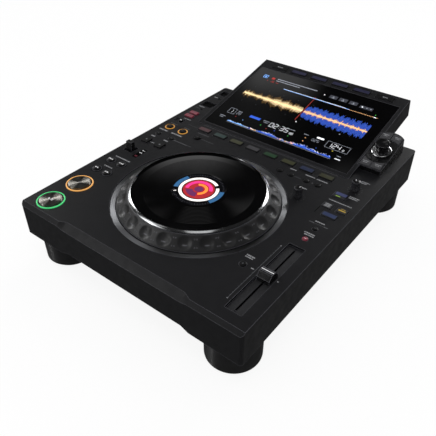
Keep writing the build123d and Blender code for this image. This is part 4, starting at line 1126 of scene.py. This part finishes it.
# Play line, its end mark, and the thin strip over the waves
paint("Red", bar(playLine, 98.0, 0.7, 58.0), arrowHead(playLine, 127.6, 1.6, -90))
paint("Sky", *dashes(-53.0, 58.0, 124.8, 1.1, 3))
paint("Orange", *dashes(20.0, 102.0, 124.5, 0.6, 4))
paint("White", *dashes(-53.0, 52.0, 125.6, 0.5, 17))
paint("White", dot(4.8, 66.6, 0.9), bar(97.5, 124.6, 3.6, 1.2))
for x in range(-96, 100, 26):
    paint("Dim", bar(x, 110.6, 0.4, 2.2), bar(x, 73.4, 0.4, 2.2))
# Overview of the whole piece along the bottom
left, right, foot = picture["overview"]
x = left
while x < right:
    share = (x - left) / (right - left)
    swell = 1.2 + 2.4 * share + 1.6 * math.sin(share * 19) + 0.9 * math.sin(share * 61)
    swell = max(0.7, (swell + random.uniform(-1.3, 1.5)) * (0.6 if share < 0.22 else 1.0))
    tone = "Sky" if share < 0.2 else "Blue"
    if 0.24 < share < 0.3 or (0.5 < share < 0.66 and random.random() < 0.5):
        tone = "Orange"
    paint(tone, bar(x, foot + swell / 2, pitch * 0.9, swell))
    if random.random() < 0.42:
        paint("White", bar(x, foot + swell + 0.2, pitch * 0.9, random.uniform(0.3, 0.9)))
    x += pitch
paint("Grey", bar(-1.0, 20.9, 172.0, 0.35))
for x, y, tone in (
    (-66.0, 33.8, "Sky"),
    (-36.2, 36.6, "Green"),
    (-24.6, 33.4, "Red"),
    (-80.4, 36.0, "Red"),
    (-11.6, 34.9, "Blue"),
    (11.2, 34.6, "Green"),
    (34.8, 35.3, "Orange"),
    (34.7, 42.4, "Orange"),
    (58.3, 31.1, "Blue"),
    (80.5, 36.0, "Yellow"),
    (96.0, 129.5, "Green"),
):
    paint(tone, arrowHead(x, y, 1.7, -90))
# Numbers, boxes and pills between the two
paint("White", *digits("02:35", -24.6, 39.6, 8.6, 0.08), *digits("00", 10.0, 38.8, 3.6, 0.13))
paint("White", *digits("124", 68.8, 41.4, 8.0, 0.08), *digits("0", 91.6, 41.4, 3.2, 0.13))
paint("Grey", *frameOutline(66.0, 99.6, 39.0, 52.0, 0.35))
paint("Grey", *frameOutline(-98.6, -87.0, 38.6, 50.4, 0.35))
paint("White", *digits("1", -95.4, 41.2, 6.2, 0.09))
paint("Grey", *digits("28", -83.4, 41.2, 4.6), *dashes(-83.4, -76.0, 48.4, 1.0, 5))
paint("Blue", bar(-52.8, 46.6, 18.0, 4.8))
paint("White", bar(54.0, 50.8, 10.6, 3.0))
paint("Grey", *digits("025", 44.6, 41.2, 4.6), *dashes(29.0, 36.0, 49.0, 0.9, 6))
paint("Grey", *dashes(-38.0, -28.0, 47.6, 0.9, 7), *dashes(-36.0, -29.0, 44.4, 0.9, 8))
paint("Grey", *dashes(7.0, 14.6, 48.4, 0.9, 9), *dashes(-104.0, -95.0, 29.6, 1.0, 10))
paint("Grey", *dashes(-103.0, -96.0, 26.4, 0.9, 12))
paint("White", *dashes(90.0, 97.6, 24.6, 1.6, 13))
paint("Grey", *dashes(90.0, 96.0, 30.4, 0.9, 14), arrowHead(72.0, 70.6, 2.0, -90))
# Title bars, and the row of small plates at the top right
paint("Sky", *frameOutline(-100.4, -93.4, 138.4, 145.0, 0.9), dot(-96.9, 141.6, 1.7))
paint("Red", bar(-82.6, 141.4, 5.4, 4.6), arrowHead(-88.6, 133.4, 2.0, 0))
paint("Red", bar(-79.6, 132.4, 5.6, 0.9), bar(-79.0, 135.0, 4.4, 0.8), bar(-71.0, 133.4, 5.0, 0.8))
paint("Grey", *dashes(-75.6, -5.0, 143.2, 1.5, 15), *dashes(-75.6, -33.0, 138.6, 1.5, 16))
for x in (24.0, 40.0, 56.4):
    paint("Dim", bar(x, 140.4, 12.8, 7.4))
    paint("Grey", arrowHead(x, 140.8, 2.6, 90), bar(x, 138.2, 4.4, 0.7))
paint("Dim", bar(77.4, 138.4, 20.0, 6.0))
paint("White", arrowHead(9.4, 139.8, 2.2, 0), dot(71.4, 138.4, 1.1))
paint("Grey", dot(78.4, 138.4, 0.9), dot(84.6, 138.4, 0.9))
for tone, (height, *look) in pixels.items():
    ink = screenInk("pixel" + tone, *look)
    printMarks("screenPixel" + tone, lit[tone], ink, slopeFrame, height)
print("stage 7: screen picture drawn")


# Printed marks on the deck: every label is a row of small bars, each line a thin stroke
deckPrint = {
    "labels": [  # left, right, y, height
        (-145.4, -130.8, -117.4, 1.9), (-150.0, -124.0, -92.3, 2.0), (-151.6, -144.6, -21.6, 2.4),
        (-139.0, -132.6, -36.4, 1.7), (-127.6, -120.6, -21.4, 2.4), (-156.2, -140.0, 0.6, 2.6),
        (-133.4, -113.6, 0.9, 2.6), (52.4, 61.4, 26.2, 1.8), (75.4, 89.2, 25.5, 1.8),
        (92.0, 107.4, 25.2, 1.8), (86.6, 94.0, -2.2, 1.8), (139.0, 149.8, 55.6, 1.6),
        (139.0, 147.0, 52.6, 1.6), (142.2, 155.2, 17.0, 1.7), (142.2, 153.6, 14.0, 1.7),
        (124.8, 154.8, -2.8, 1.6), (133.0, 145.4, -50.0, 1.8), (132.8, 145.8, -74.0, 1.8),
        (134.4, 146.0, -77.2, 1.8), (104.2, 115.2, -144.4, 1.7), (104.2, 113.8, -147.3, 1.7),
        (-156.6, -146.6, 92.0, 2.0), (-157.0, -148.0, 131.4, 2.2), (-148.6, -135.4, 46.3, 1.6),
    ],
    "faintLabels": [
        (-118.0, -92.0, -13.2, 1.3), (-154.6, -142.0, 23.4, 1.2), (-128.6, -119.0, 23.4, 1.2),
        (-103.0, -83.4, 24.4, 1.1), (-157.0, -149.0, 64.2, 1.2), (127.6, 133.6, -54.2, 1.1),
        (146.0, 151.4, -54.2, 1.1), (-157.6, -151.0, 85.4, 1.1),
    ],
    "lines": [
        (-92.0, -84.6, -12.8, 0.35), (-131.0, -113.0, 34.9, 0.3), (-86.4, -64.6, 12.7, 0.45),
        (64.4, 75.6, 13.3, 0.35), (134.4, 145.4, -54.2, 0.3), (-111.0, 110.0, 47.6, 0.42),
    ],
    "menuTicks": (8, 28.48, 47.9),  # how many, pitch and y
    "tempoScale": {"x": 125.5, "low": -206.7, "high": -110.9, "middle": -158.8, "steps": 20},
    "knobTicks": {"count": 11, "first": -60, "pitch": 30, "reach": 8.9},
}
whiteInk, faintInk = [], []
for index, label in enumerate(deckPrint["labels"]):
    whiteInk += dashes(*label, 40 + index)
for index, label in enumerate(deckPrint["faintLabels"]):
    faintInk += dashes(*label, 80 + index)
for left, right, y, height in deckPrint["lines"]:
    faintInk.append(bar((left + right) / 2, y, right - left, height))
count, pitch, y = deckPrint["menuTicks"]
faintInk += [bar((index - (count - 1) / 2) * pitch, y, 1.9, 1.0) for index in range(count)]
whiteInk.append(dot(91.8, 13.8, 0.5))
# Tempo scale beside the fader, with its middle mark and lamp
scale = deckPrint["tempoScale"]
x, low, reach = scale["x"], scale["low"], scale["high"] - scale["low"]
faintInk.append(bar(x, (low + scale["high"]) / 2, 0.4, reach))
for step in range(scale["steps"] + 1):
    y = low + reach * step / scale["steps"]
    faintInk.append(bar(x - 0.75, y, 1.1 if step % 5 else 1.7, 0.22))
whiteInk += [dot(x, y, 0.75) for y in (low, scale["high"])]
whiteInk += [bar(121.4, scale["middle"], 3.6, 1.3), bar(152.4, scale["middle"], 1.8, 1.2)]
# Ticks round the two knobs
ticks = deckPrint["knobTicks"]
for key in knobSpec["pointerTurns"]:
    for step in range(ticks["count"]):
        angle = ticks["first"] + ticks["pitch"] * step
        place = onCircle(*middleOf(key), ticks["reach"], math.radians(angle))
        faintInk.append(bar(*place, 1.5 if step % 5 else 2.4, 0.35, angle))
printMarks("deckMarks", whiteInk, finishes["grey"], deckFrame)
printMarks("deckFaintMarks", faintInk, finishes["dimInk"], deckFrame)

# Dark collars round the domes, the lever's window and the corner line by the key pad
collarSpec = {
    **dict.fromkeys(skipKeys, (5.6, 7.6, 40)),
    "memory_buttons": (3.85, 4.6, 28),
    "reloop_button": (5.25, 6.0, 32),
}
darkStrips = ((-129.2, -68.4, 7.6, 23.0), (123.2, -28.2, 0.9, 14.6), (125.8, -21.2, 5.4, 0.8))
collars = [bar(*strip) for strip in darkStrips]
for key, (inner, outer, steps) in collarSpec.items():
    for x, y in sharedPlaces.get(key, [middleOf(key)]):
        collars += arcBand(x, y, inner, outer, 0, 360, steps)
# Painted shade: black film on the floor inside the two ports, in front of and behind each slot,
# darkening the recesses
portRecessPaintedShade = []
for (x, y), width, low, slotLow, slotHigh, high in (
    (fromLeft(13.85, 385.2), 13.0, -8.4, -7.0, -1.8, 8.4),
    (fromLeft(17.15, 339.5), 21.0, -8.2, -5.9, -2.9, 8.2),
):
    portRecessPaintedShade.append(bar(x, y + (low + slotLow) / 2, width, slotLow - low))
    portRecessPaintedShade.append(bar(x, y + (slotHigh + high) / 2, width, high - slotHigh))
leverMarks = dashes(-131.6, -126.6, -66.4, 1.8, 21) + dashes(-131.4, -127.0, -60.4, 1.4, 22)
printMarks("deckCollars", collars, finishes["collarAndPaintedShade"], deckFrame, 0.0, 0.03)
# painted shade in the port recesses
printMarks("portRecessPaintedShade", portRecessPaintedShade, finishes["collarAndPaintedShade"], deckFrame, -2.0, 0.04)
leverWindow = [bar(-129.0, -75.8, 4.2, 2.6)]
printMarks("leverWindowRed", leverWindow, finishes["windowRed"], deckFrame, 0.03)
printMarks("leverWindowMarks", leverMarks, finishes["white"], deckFrame, 0.03)

# Films on the tops of the flat keys, held a little inside the rounded edge
filmSpec = {
    "hotCue": (18.0, 7.6, 1.0),  # width, length, corner
    "menu": (24.6, 6.4, 0.8),
    "menuRow": 171.4,
    "menuPlaces": (-54.0, -18.2, 17.8, 53.6),
    "menuTop": 1.0,
}
for letter in "ABCDEFGH":
    node = "hot_cue_" + letter.lower()
    x, y = middleOf(node)
    top, body, film = topOf(node), bodyOfNode[node], finishes["cue" + letter]
    outline = roundedOutline(x, y, *filmSpec["hotCue"])
    tick = bar(x, y + 2.2, 2.2, 0.8)
    printMarks("hotCueFilm" + letter, [outline], film, None, top, body=body)
    printMarks("hotCueTick" + letter, [tick], finishes["dimInk"], None, top + 0.05, 0.04, body)
row, top = filmSpec["menuRow"], filmSpec["menuTop"]
menuFilms = [roundedOutline(x, row, *filmSpec["menu"]) for x in filmSpec["menuPlaces"]]
menuMarks = dashes(-94.4, -84.4, row, 1.7, 31) + dashes(86.6, 94.0, row, 1.7, 32)
printMarks("menuFilms", menuFilms, finishes["menuFilm"], slopeFrame, top, body="menu_key")
printMarks("menuMarks", menuMarks, finishes["grey"], slopeFrame, top, body="menu_key")

# Signs on the keys: how far each starts under the key's top, and how thick it is
onDome, onFlat, onLoop = (0.14, 0.16), (0.02, 0.06), (0.08, 0.1)
onDisc, onSmallDome = (discSpec["dish"] + 0.02, 0.1), (0.12, 0.14)
twoSlashes = [bar(-1.6, 0, 0.8, 4.4, -30), bar(1.2, 0, 0.8, 4.4, -30)]
threeBars = [bar(0, 2.4, 8.0, 1.3), bar(0, 0.0, 7.0, 1.3), bar(0, -2.4, 8.0, 1.3)]
plus = [bar(0, 0, 2.6, 0.9), bar(0, 0, 0.9, 2.6)]
smallPlus = [bar(0, 0, 0.5, 2.2), bar(0, 0, 2.2, 0.5)]
playMarks = [arrowHead(-2.4, 0, 3.2, 0), bar(1.6, 0, 0.9, 3.4), bar(3.4, 0, 0.9, 3.4)]
backward = [arrowHead(-1.5, 0, 2.9, 180), arrowHead(1.7, 0, 2.9, 180)]
forward = [arrowHead(-1.7, 0, 2.9, 0), arrowHead(1.5, 0, 2.9, 0)]
toStart = [bar(-3.3, 0, 0.9, 3.2), arrowHead(-0.9, 0, 2.7, 180), arrowHead(2.1, 0, 2.7, 180)]
toEnd = [arrowHead(-2.1, 0, 2.7, 0), arrowHead(0.9, 0, 2.7, 0), bar(3.3, 0, 0.9, 3.2)]
keySigns = {
    "search_backSign": ("search_back_button", "white", onDome, backward),
    "search_forwardSign": ("search_forward_button", "white", onDome, forward),
    "track_backSign": ("track_back_button", "white", onDome, toStart),
    "track_forwardSign": ("track_forward_button", "white", onDome, toEnd),
    "reloopSign": ("reloop_button", "dimInk", onDome, [bar(0, 0, 3.0, 0.5)]),
    "slipSign": ("slip_button", "white", onDome, [bar(0, 0, 3.4, 1.3)]),
    "tempo_rangeSign": ("tempo_range_button", "dimInk", onDome, [bar(0, 0.2, 2.6, 0.6)]),
    "tempo_resetSign": ("tempo_reset_button", "dimInk", onDome, smallPlus),
    "master_tempoSign": ("master_tempo_button", "white", onDome, [bar(0, 0, 2.4, 0.7)]),
    "syncSign": ("sync_button", "grey", onDome, threeBars),
    "quantizeSign": ("quantize_button", "dimInk", onDome, twoSlashes),
    "timeSign": ("time_button", "dimInk", onDome, twoSlashes),
    "masterSign": (
        "master_button",
        "amberInk",
        onFlat,
        [bar(0, -0.4, 9.0, 2.2), bar(0, 2.8, 6.0, 0.8)],
    ),
    "keyFilm": ("key_button", "keyFilm", onFlat, [roundedOutline(0, 0, 16.6, 6.2, 0.8)]),
    "modeFilm": ("jog_mode_button", "modeFilm", onFlat, [bar(0.4, 2.0, 14.0, 5.4)]),
    "modeSign": ("jog_mode_button", "windowGreen", onFlat, [bar(-1.4, -3.6, 6.0, 1.1)]),
    "playSign": ("play_button", "white", onDisc, playMarks),
    "cueSign": ("cue_button", "grey", onDisc, [bar(0, 0, 3.4, 0.9)]),
    "jumpSigns": ("jump_buttons", "grey", onFlat, plus),
    "loopLengthSigns": ("loop_length_buttons", "dimInk", onSmallDome, [bar(0, 0, 3.2, 0.7)]),
    "loop_inSign": ("loop_in_button", "dimInk", onLoop, [bar(0, 0, 2.6, 0.6)]),
    "loop_outSign": ("loop_out_button", "dimInk", onLoop, [bar(0, 0, 2.6, 0.6)]),
}
for name, (node, ink, (sunk, thickness), marks) in keySigns.items():
    outlines = [
        [(x + dx, y + dy) for dx, dy in mark]
        for x, y in sharedPlaces.get(node, [middleOf(node)])
        for mark in marks
    ]
    height, body = topOf(node) - sunk, bodyOfNode[node]
    printMarks(name, outlines, finishes[ink], None, height, thickness, body)
podSigns = []
for index, (x, s) in enumerate(((127.4, 38.0), (144.4, 38.0), (127.4, 97.0), (144.4, 97.0))):
    podSigns += dashes(x - 4.2, x + 4.2, s + 1.4, 1.3, 60 + index)
    podSigns += dashes(x - 3.0, x + 3.0, s - 1.2, 1.1, 70 + index)
printMarks("podSigns", podSigns, finishes["grey"], slopeFrame, 0.8, body="pod_key")

# Rear panel, seen from behind: nickel shells and colour rings on the jacks, a label per socket
rearSpec = {
    "jacks": {"Left": (62.0, "white"), "Right": (44.0, "windowRed")},
    "shell": [(4.15, 0.0), (4.5, 0.0), (4.5, 7.6), (4.3, 7.9), (4.15, 7.9)],
    "ring": (4.7, 6.3, 0, 360, 40),
    "depth": 3.0,
    "row": 60.0,
    "labels": (53.0, 84.0, -88.0),  # over the jacks, the network socket and the power key
    "inlet": -60.0,
    "labelRow": 11.6,
}
panelFrame = Matrix(
    (
        (-1.0, 0.0, 0.0, 0.0),
        (0.0, 0.0, 1.0, (layout["rearY"] - rearSpec["depth"]) / 1000),
        (0.0, 1.0, 0.0, rearSpec["row"] / 1000),
        (0.0, 0.0, 0.0, 1.0),
    )
)
shape = bmesh.new()
for across, ink in rearSpec["jacks"].values():
    turnInto(shape, rearSpec["shell"], (across, 0.0), 48, closed=True)
finishPiece("jackShells", shape, [finishes["contact"]], "case", panelFrame)
for side, (across, ink) in rearSpec["jacks"].items():
    ring = arcBand(across, 0, *rearSpec["ring"])
    printMarks("jackRing" + side, ring, finishes[ink], panelFrame, 0.0, 0.08)
inlet, labelRow = rearSpec["inlet"], rearSpec["labelRow"]
rearLabels = []
for index, across in enumerate(rearSpec["labels"]):
    rearLabels += dashes(across - 6.0, across + 6.0, labelRow, 1.5, 90 + index)
rearLabels += dashes(inlet - 8.0, inlet + 8.0, labelRow + 0.8, 1.3, 95)
rearLabels += frameOutline(38.0, 68.0, -10.0, 9.6, 0.3)
printMarks("rearLabels", rearLabels, finishes["grey"], panelFrame, 0.0, 0.08)
print("stage 8: printed marks added")


# Stage: plain pale floor, soft studio lamps and the camera
stageSpec = {
    "camera": (0.3360, -0.4909, 0.4613),
    "target": (0.0107, -0.0744, 0.0438),
    "lens": 43.7,
    "floor": 6.0,
    "paper": ("#efefef", "#f5f5f5"),
    "fibre": 6.25,  # millimetres, coarser than real paper so that it reads as a faint mottle
    "evenness": 0.9,  # share of plain white where the camera sees the floor
    "floorInGloss": 0.14,
    "horizonInGloss": (0.14, 0.02),
    "fill": 0.6,
    "lampAim": (0, 0, 0.05),
}


def seenDirectly(tree):
    # The kinds of ray, and a mask of those from the camera, also through clear parts.
    rays = addNode(tree, "LightPath").outputs
    both = {0: rays["Is Camera Ray"], 1: rays["Is Transmission Ray"]}
    seen = addNode(tree, "Math", {"operation": "ADD", "use_clamp": True}, both)
    return rays, seen.outputs[0]


half = stageSpec["floor"]
corners = [(-half, -half, 0), (half, -half, 0), (half, half, 0), (-half, half, 0)]
floorMesh = bpy.data.meshes.new("studioFloor")
floorMesh.from_pydata(corners, [], [(0, 1, 2, 3)])
floor = bpy.data.objects.new("studioFloor", floorMesh)
bpy.context.scene.collection.objects.link(floor)
paper = bpy.data.materials.new("backdropPaper")
paper.use_nodes = True
tree = paper.node_tree
tree.nodes.clear()
rays, seen = seenDirectly(tree)
place = addNode(tree, "TexCoord").outputs["Object"]
grain = {"Scale": perMillimetre(stageSpec["fibre"]), "Detail": 2.0}
fibre = addNode(tree, "TexNoise", grain, {"Vector": place})
dark, light = (hexToLinear(code) for code in stageSpec["paper"])
tone = addNode(
    tree, "Mix", {"data_type": "RGBA", 6: dark, 7: light}, {0: fibre.outputs["Fac"]}
)
matt = addNode(tree, "BsdfDiffuse", None, {"Color": tone.outputs[2]}).outputs["BSDF"]
share = addNode(tree, "Math", {"operation": "MULTIPLY", 1: stageSpec["evenness"]}, {0: seen})
white, dim = (
    addNode(tree, "Emission", {"Color": (1, 1, 1, 1), "Strength": strength}).outputs[0]
    for strength in (1.0, stageSpec["floorInGloss"])
)
plain = addNode(tree, "MixShader", None, {0: share.outputs[0], 1: matt, 2: white})
blend = addNode(
    tree, "MixShader", None, {0: rays["Is Glossy Ray"], 1: plain.outputs["Shader"], 2: dim}
)
addNode(tree, "OutputMaterial", None, {"Surface": blend.outputs["Shader"]})
floorMesh.materials.append(paper)

world = bpy.data.worlds.new("studioWorld")
bpy.context.scene.world = world
world.use_nodes = True
tree = world.node_tree
tree.nodes.clear()
rays, seen = seenDirectly(tree)
direction = addNode(tree, "TexCoord").outputs["Generated"]
split = addNode(tree, "SeparateXYZ", None, {0: direction})
low, high = stageSpec["horizonInGloss"]
smooth = {"interpolation_type": "SMOOTHSTEP"}
reach = {"From Min": -0.02, "From Max": 0.25, "To Min": low, "To Max": high, **smooth}
glossSum = addNode(tree, "MapRange", reach, {"Value": split.outputs["Z"]}).outputs["Result"]
# Far softboxes that show only in gloss: azimuth and elevation in degrees, half width, half
# height and soft edge as slopes, level, and turn in degrees
studioCards = (
    (131.5, 27.2, 0.07, 0.095, 0.04, 1.4, 0), (131.0, 43.5, 0.06, 0.035, 0.03, 0.8, -20),
    (138.0, 46.0, 0.08, 0.06, 0.06, 0.12, -24), (134.0, 59.0, 0.12, 0.06, 0.04, 0.65, 0),
    (-50.0, 82.0, 0.18, 0.16, 0.05, 0.75, 0), (204.0, 50.0, 0.06, 0.26, 0.04, 0.5, 0),
    (221.0, 39.0, 0.26, 0.24, 0.12, 2.6, 0), (-125.0, 8.0, 0.08, 0.14, 0.04, 6.0, 0),
    (168.0, 27.0, 0.15, 0.17, 0.08, 8.0, 0), (89.0, 26.0, 0.2, 0.12, 0.07, 8.5, 0),
)
for azimuth, elevation, halfWidth, halfHeight, soft, level, turn in studioCards:
    flat = math.cos(math.radians(elevation))
    flatX, flatY = onCircle(0, 0, flat, math.radians(azimuth))
    ahead = Vector((flatX, flatY, math.sin(math.radians(elevation))))
    across = ahead.cross(Vector((0, 0, 1))).normalized()
    spin = Matrix.Rotation(math.radians(turn), 3, ahead)
    dotWith = {"operation": "DOT_PRODUCT"}
    toward = addNode(tree, "VectorMath", {**dotWith, 1: ahead}, {0: direction}).outputs["Value"]
    mask = addNode(tree, "Math", {"operation": "GREATER_THAN", 1: 0.0}, {0: toward})
    for side, half in ((across, halfWidth), (across.cross(ahead), halfHeight)):
        along = addNode(tree, "VectorMath", {**dotWith, 1: spin @ side}, {0: direction})
        ends = {0: along.outputs["Value"], 1: toward}
        slope = addNode(tree, "Math", {"operation": "DIVIDE"}, ends)
        away = addNode(tree, "Math", {"operation": "ABSOLUTE"}, {0: slope.outputs[0]})
        reach = {"From Min": half + soft, "From Max": half - soft, **smooth}
        inside = addNode(tree, "MapRange", reach, {"Value": away.outputs[0]}).outputs["Result"]
        mask = addNode(tree, "Math", {"operation": "MULTIPLY"}, {0: inside, 1: mask.outputs[0]})
    add = {"operation": "MULTIPLY_ADD", 1: level}
    glossSum = addNode(tree, "Math", add, {0: mask.outputs[0], 2: glossSum}).outputs[0]
diffuse = {0: rays["Is Diffuse Ray"], 2: glossSum}
fill = addNode(tree, "Mix", {"data_type": "FLOAT", 3: stageSpec["fill"]}, diffuse).outputs[0]
level = addNode(tree, "Mix", {"data_type": "FLOAT", 3: 1.0}, {0: seen, 2: fill}).outputs[0]
sky = addNode(tree, "Background", {"Color": (1, 1, 1, 1)}, {"Strength": level})
addNode(tree, "OutputWorld", None, {"Surface": sky.outputs["Background"]})


def softbox(name, place, width, height, power):
    data = bpy.data.lights.new(name, "AREA")
    data.shape = "RECTANGLE"
    data.size, data.size_y, data.energy = width, height, power
    lamp = bpy.data.objects.new(name, data)
    lamp.location = place
    aim = Vector(stageSpec["lampAim"]) - Vector(place)
    lamp.rotation_euler = aim.to_track_quat("-Z", "Y").to_euler()
    lamp.visible_glossy = False
    bpy.context.scene.collection.objects.link(lamp)


softbox("topBox", (0.25, -0.5, 1.9), 1.2, 1.0, 11.0)
softbox("rearBox", (-0.7, 1.3, 1.7), 0.9, 0.7, 6.0)

cameraData = bpy.data.cameras.new("camera")
cameraData.lens = stageSpec["lens"]
cameraData.sensor_width = 36.0
camera = bpy.data.objects.new("camera", cameraData)
camera.location = stageSpec["camera"]
aim = Vector(stageSpec["target"]) - Vector(stageSpec["camera"])
camera.rotation_euler = aim.to_track_quat("-Z", "Y").to_euler()
bpy.context.scene.collection.objects.link(camera)
bpy.context.scene.camera = camera
bpy.context.scene.view_settings.view_transform = "Standard"
print("stage 9: lamps and camera set")
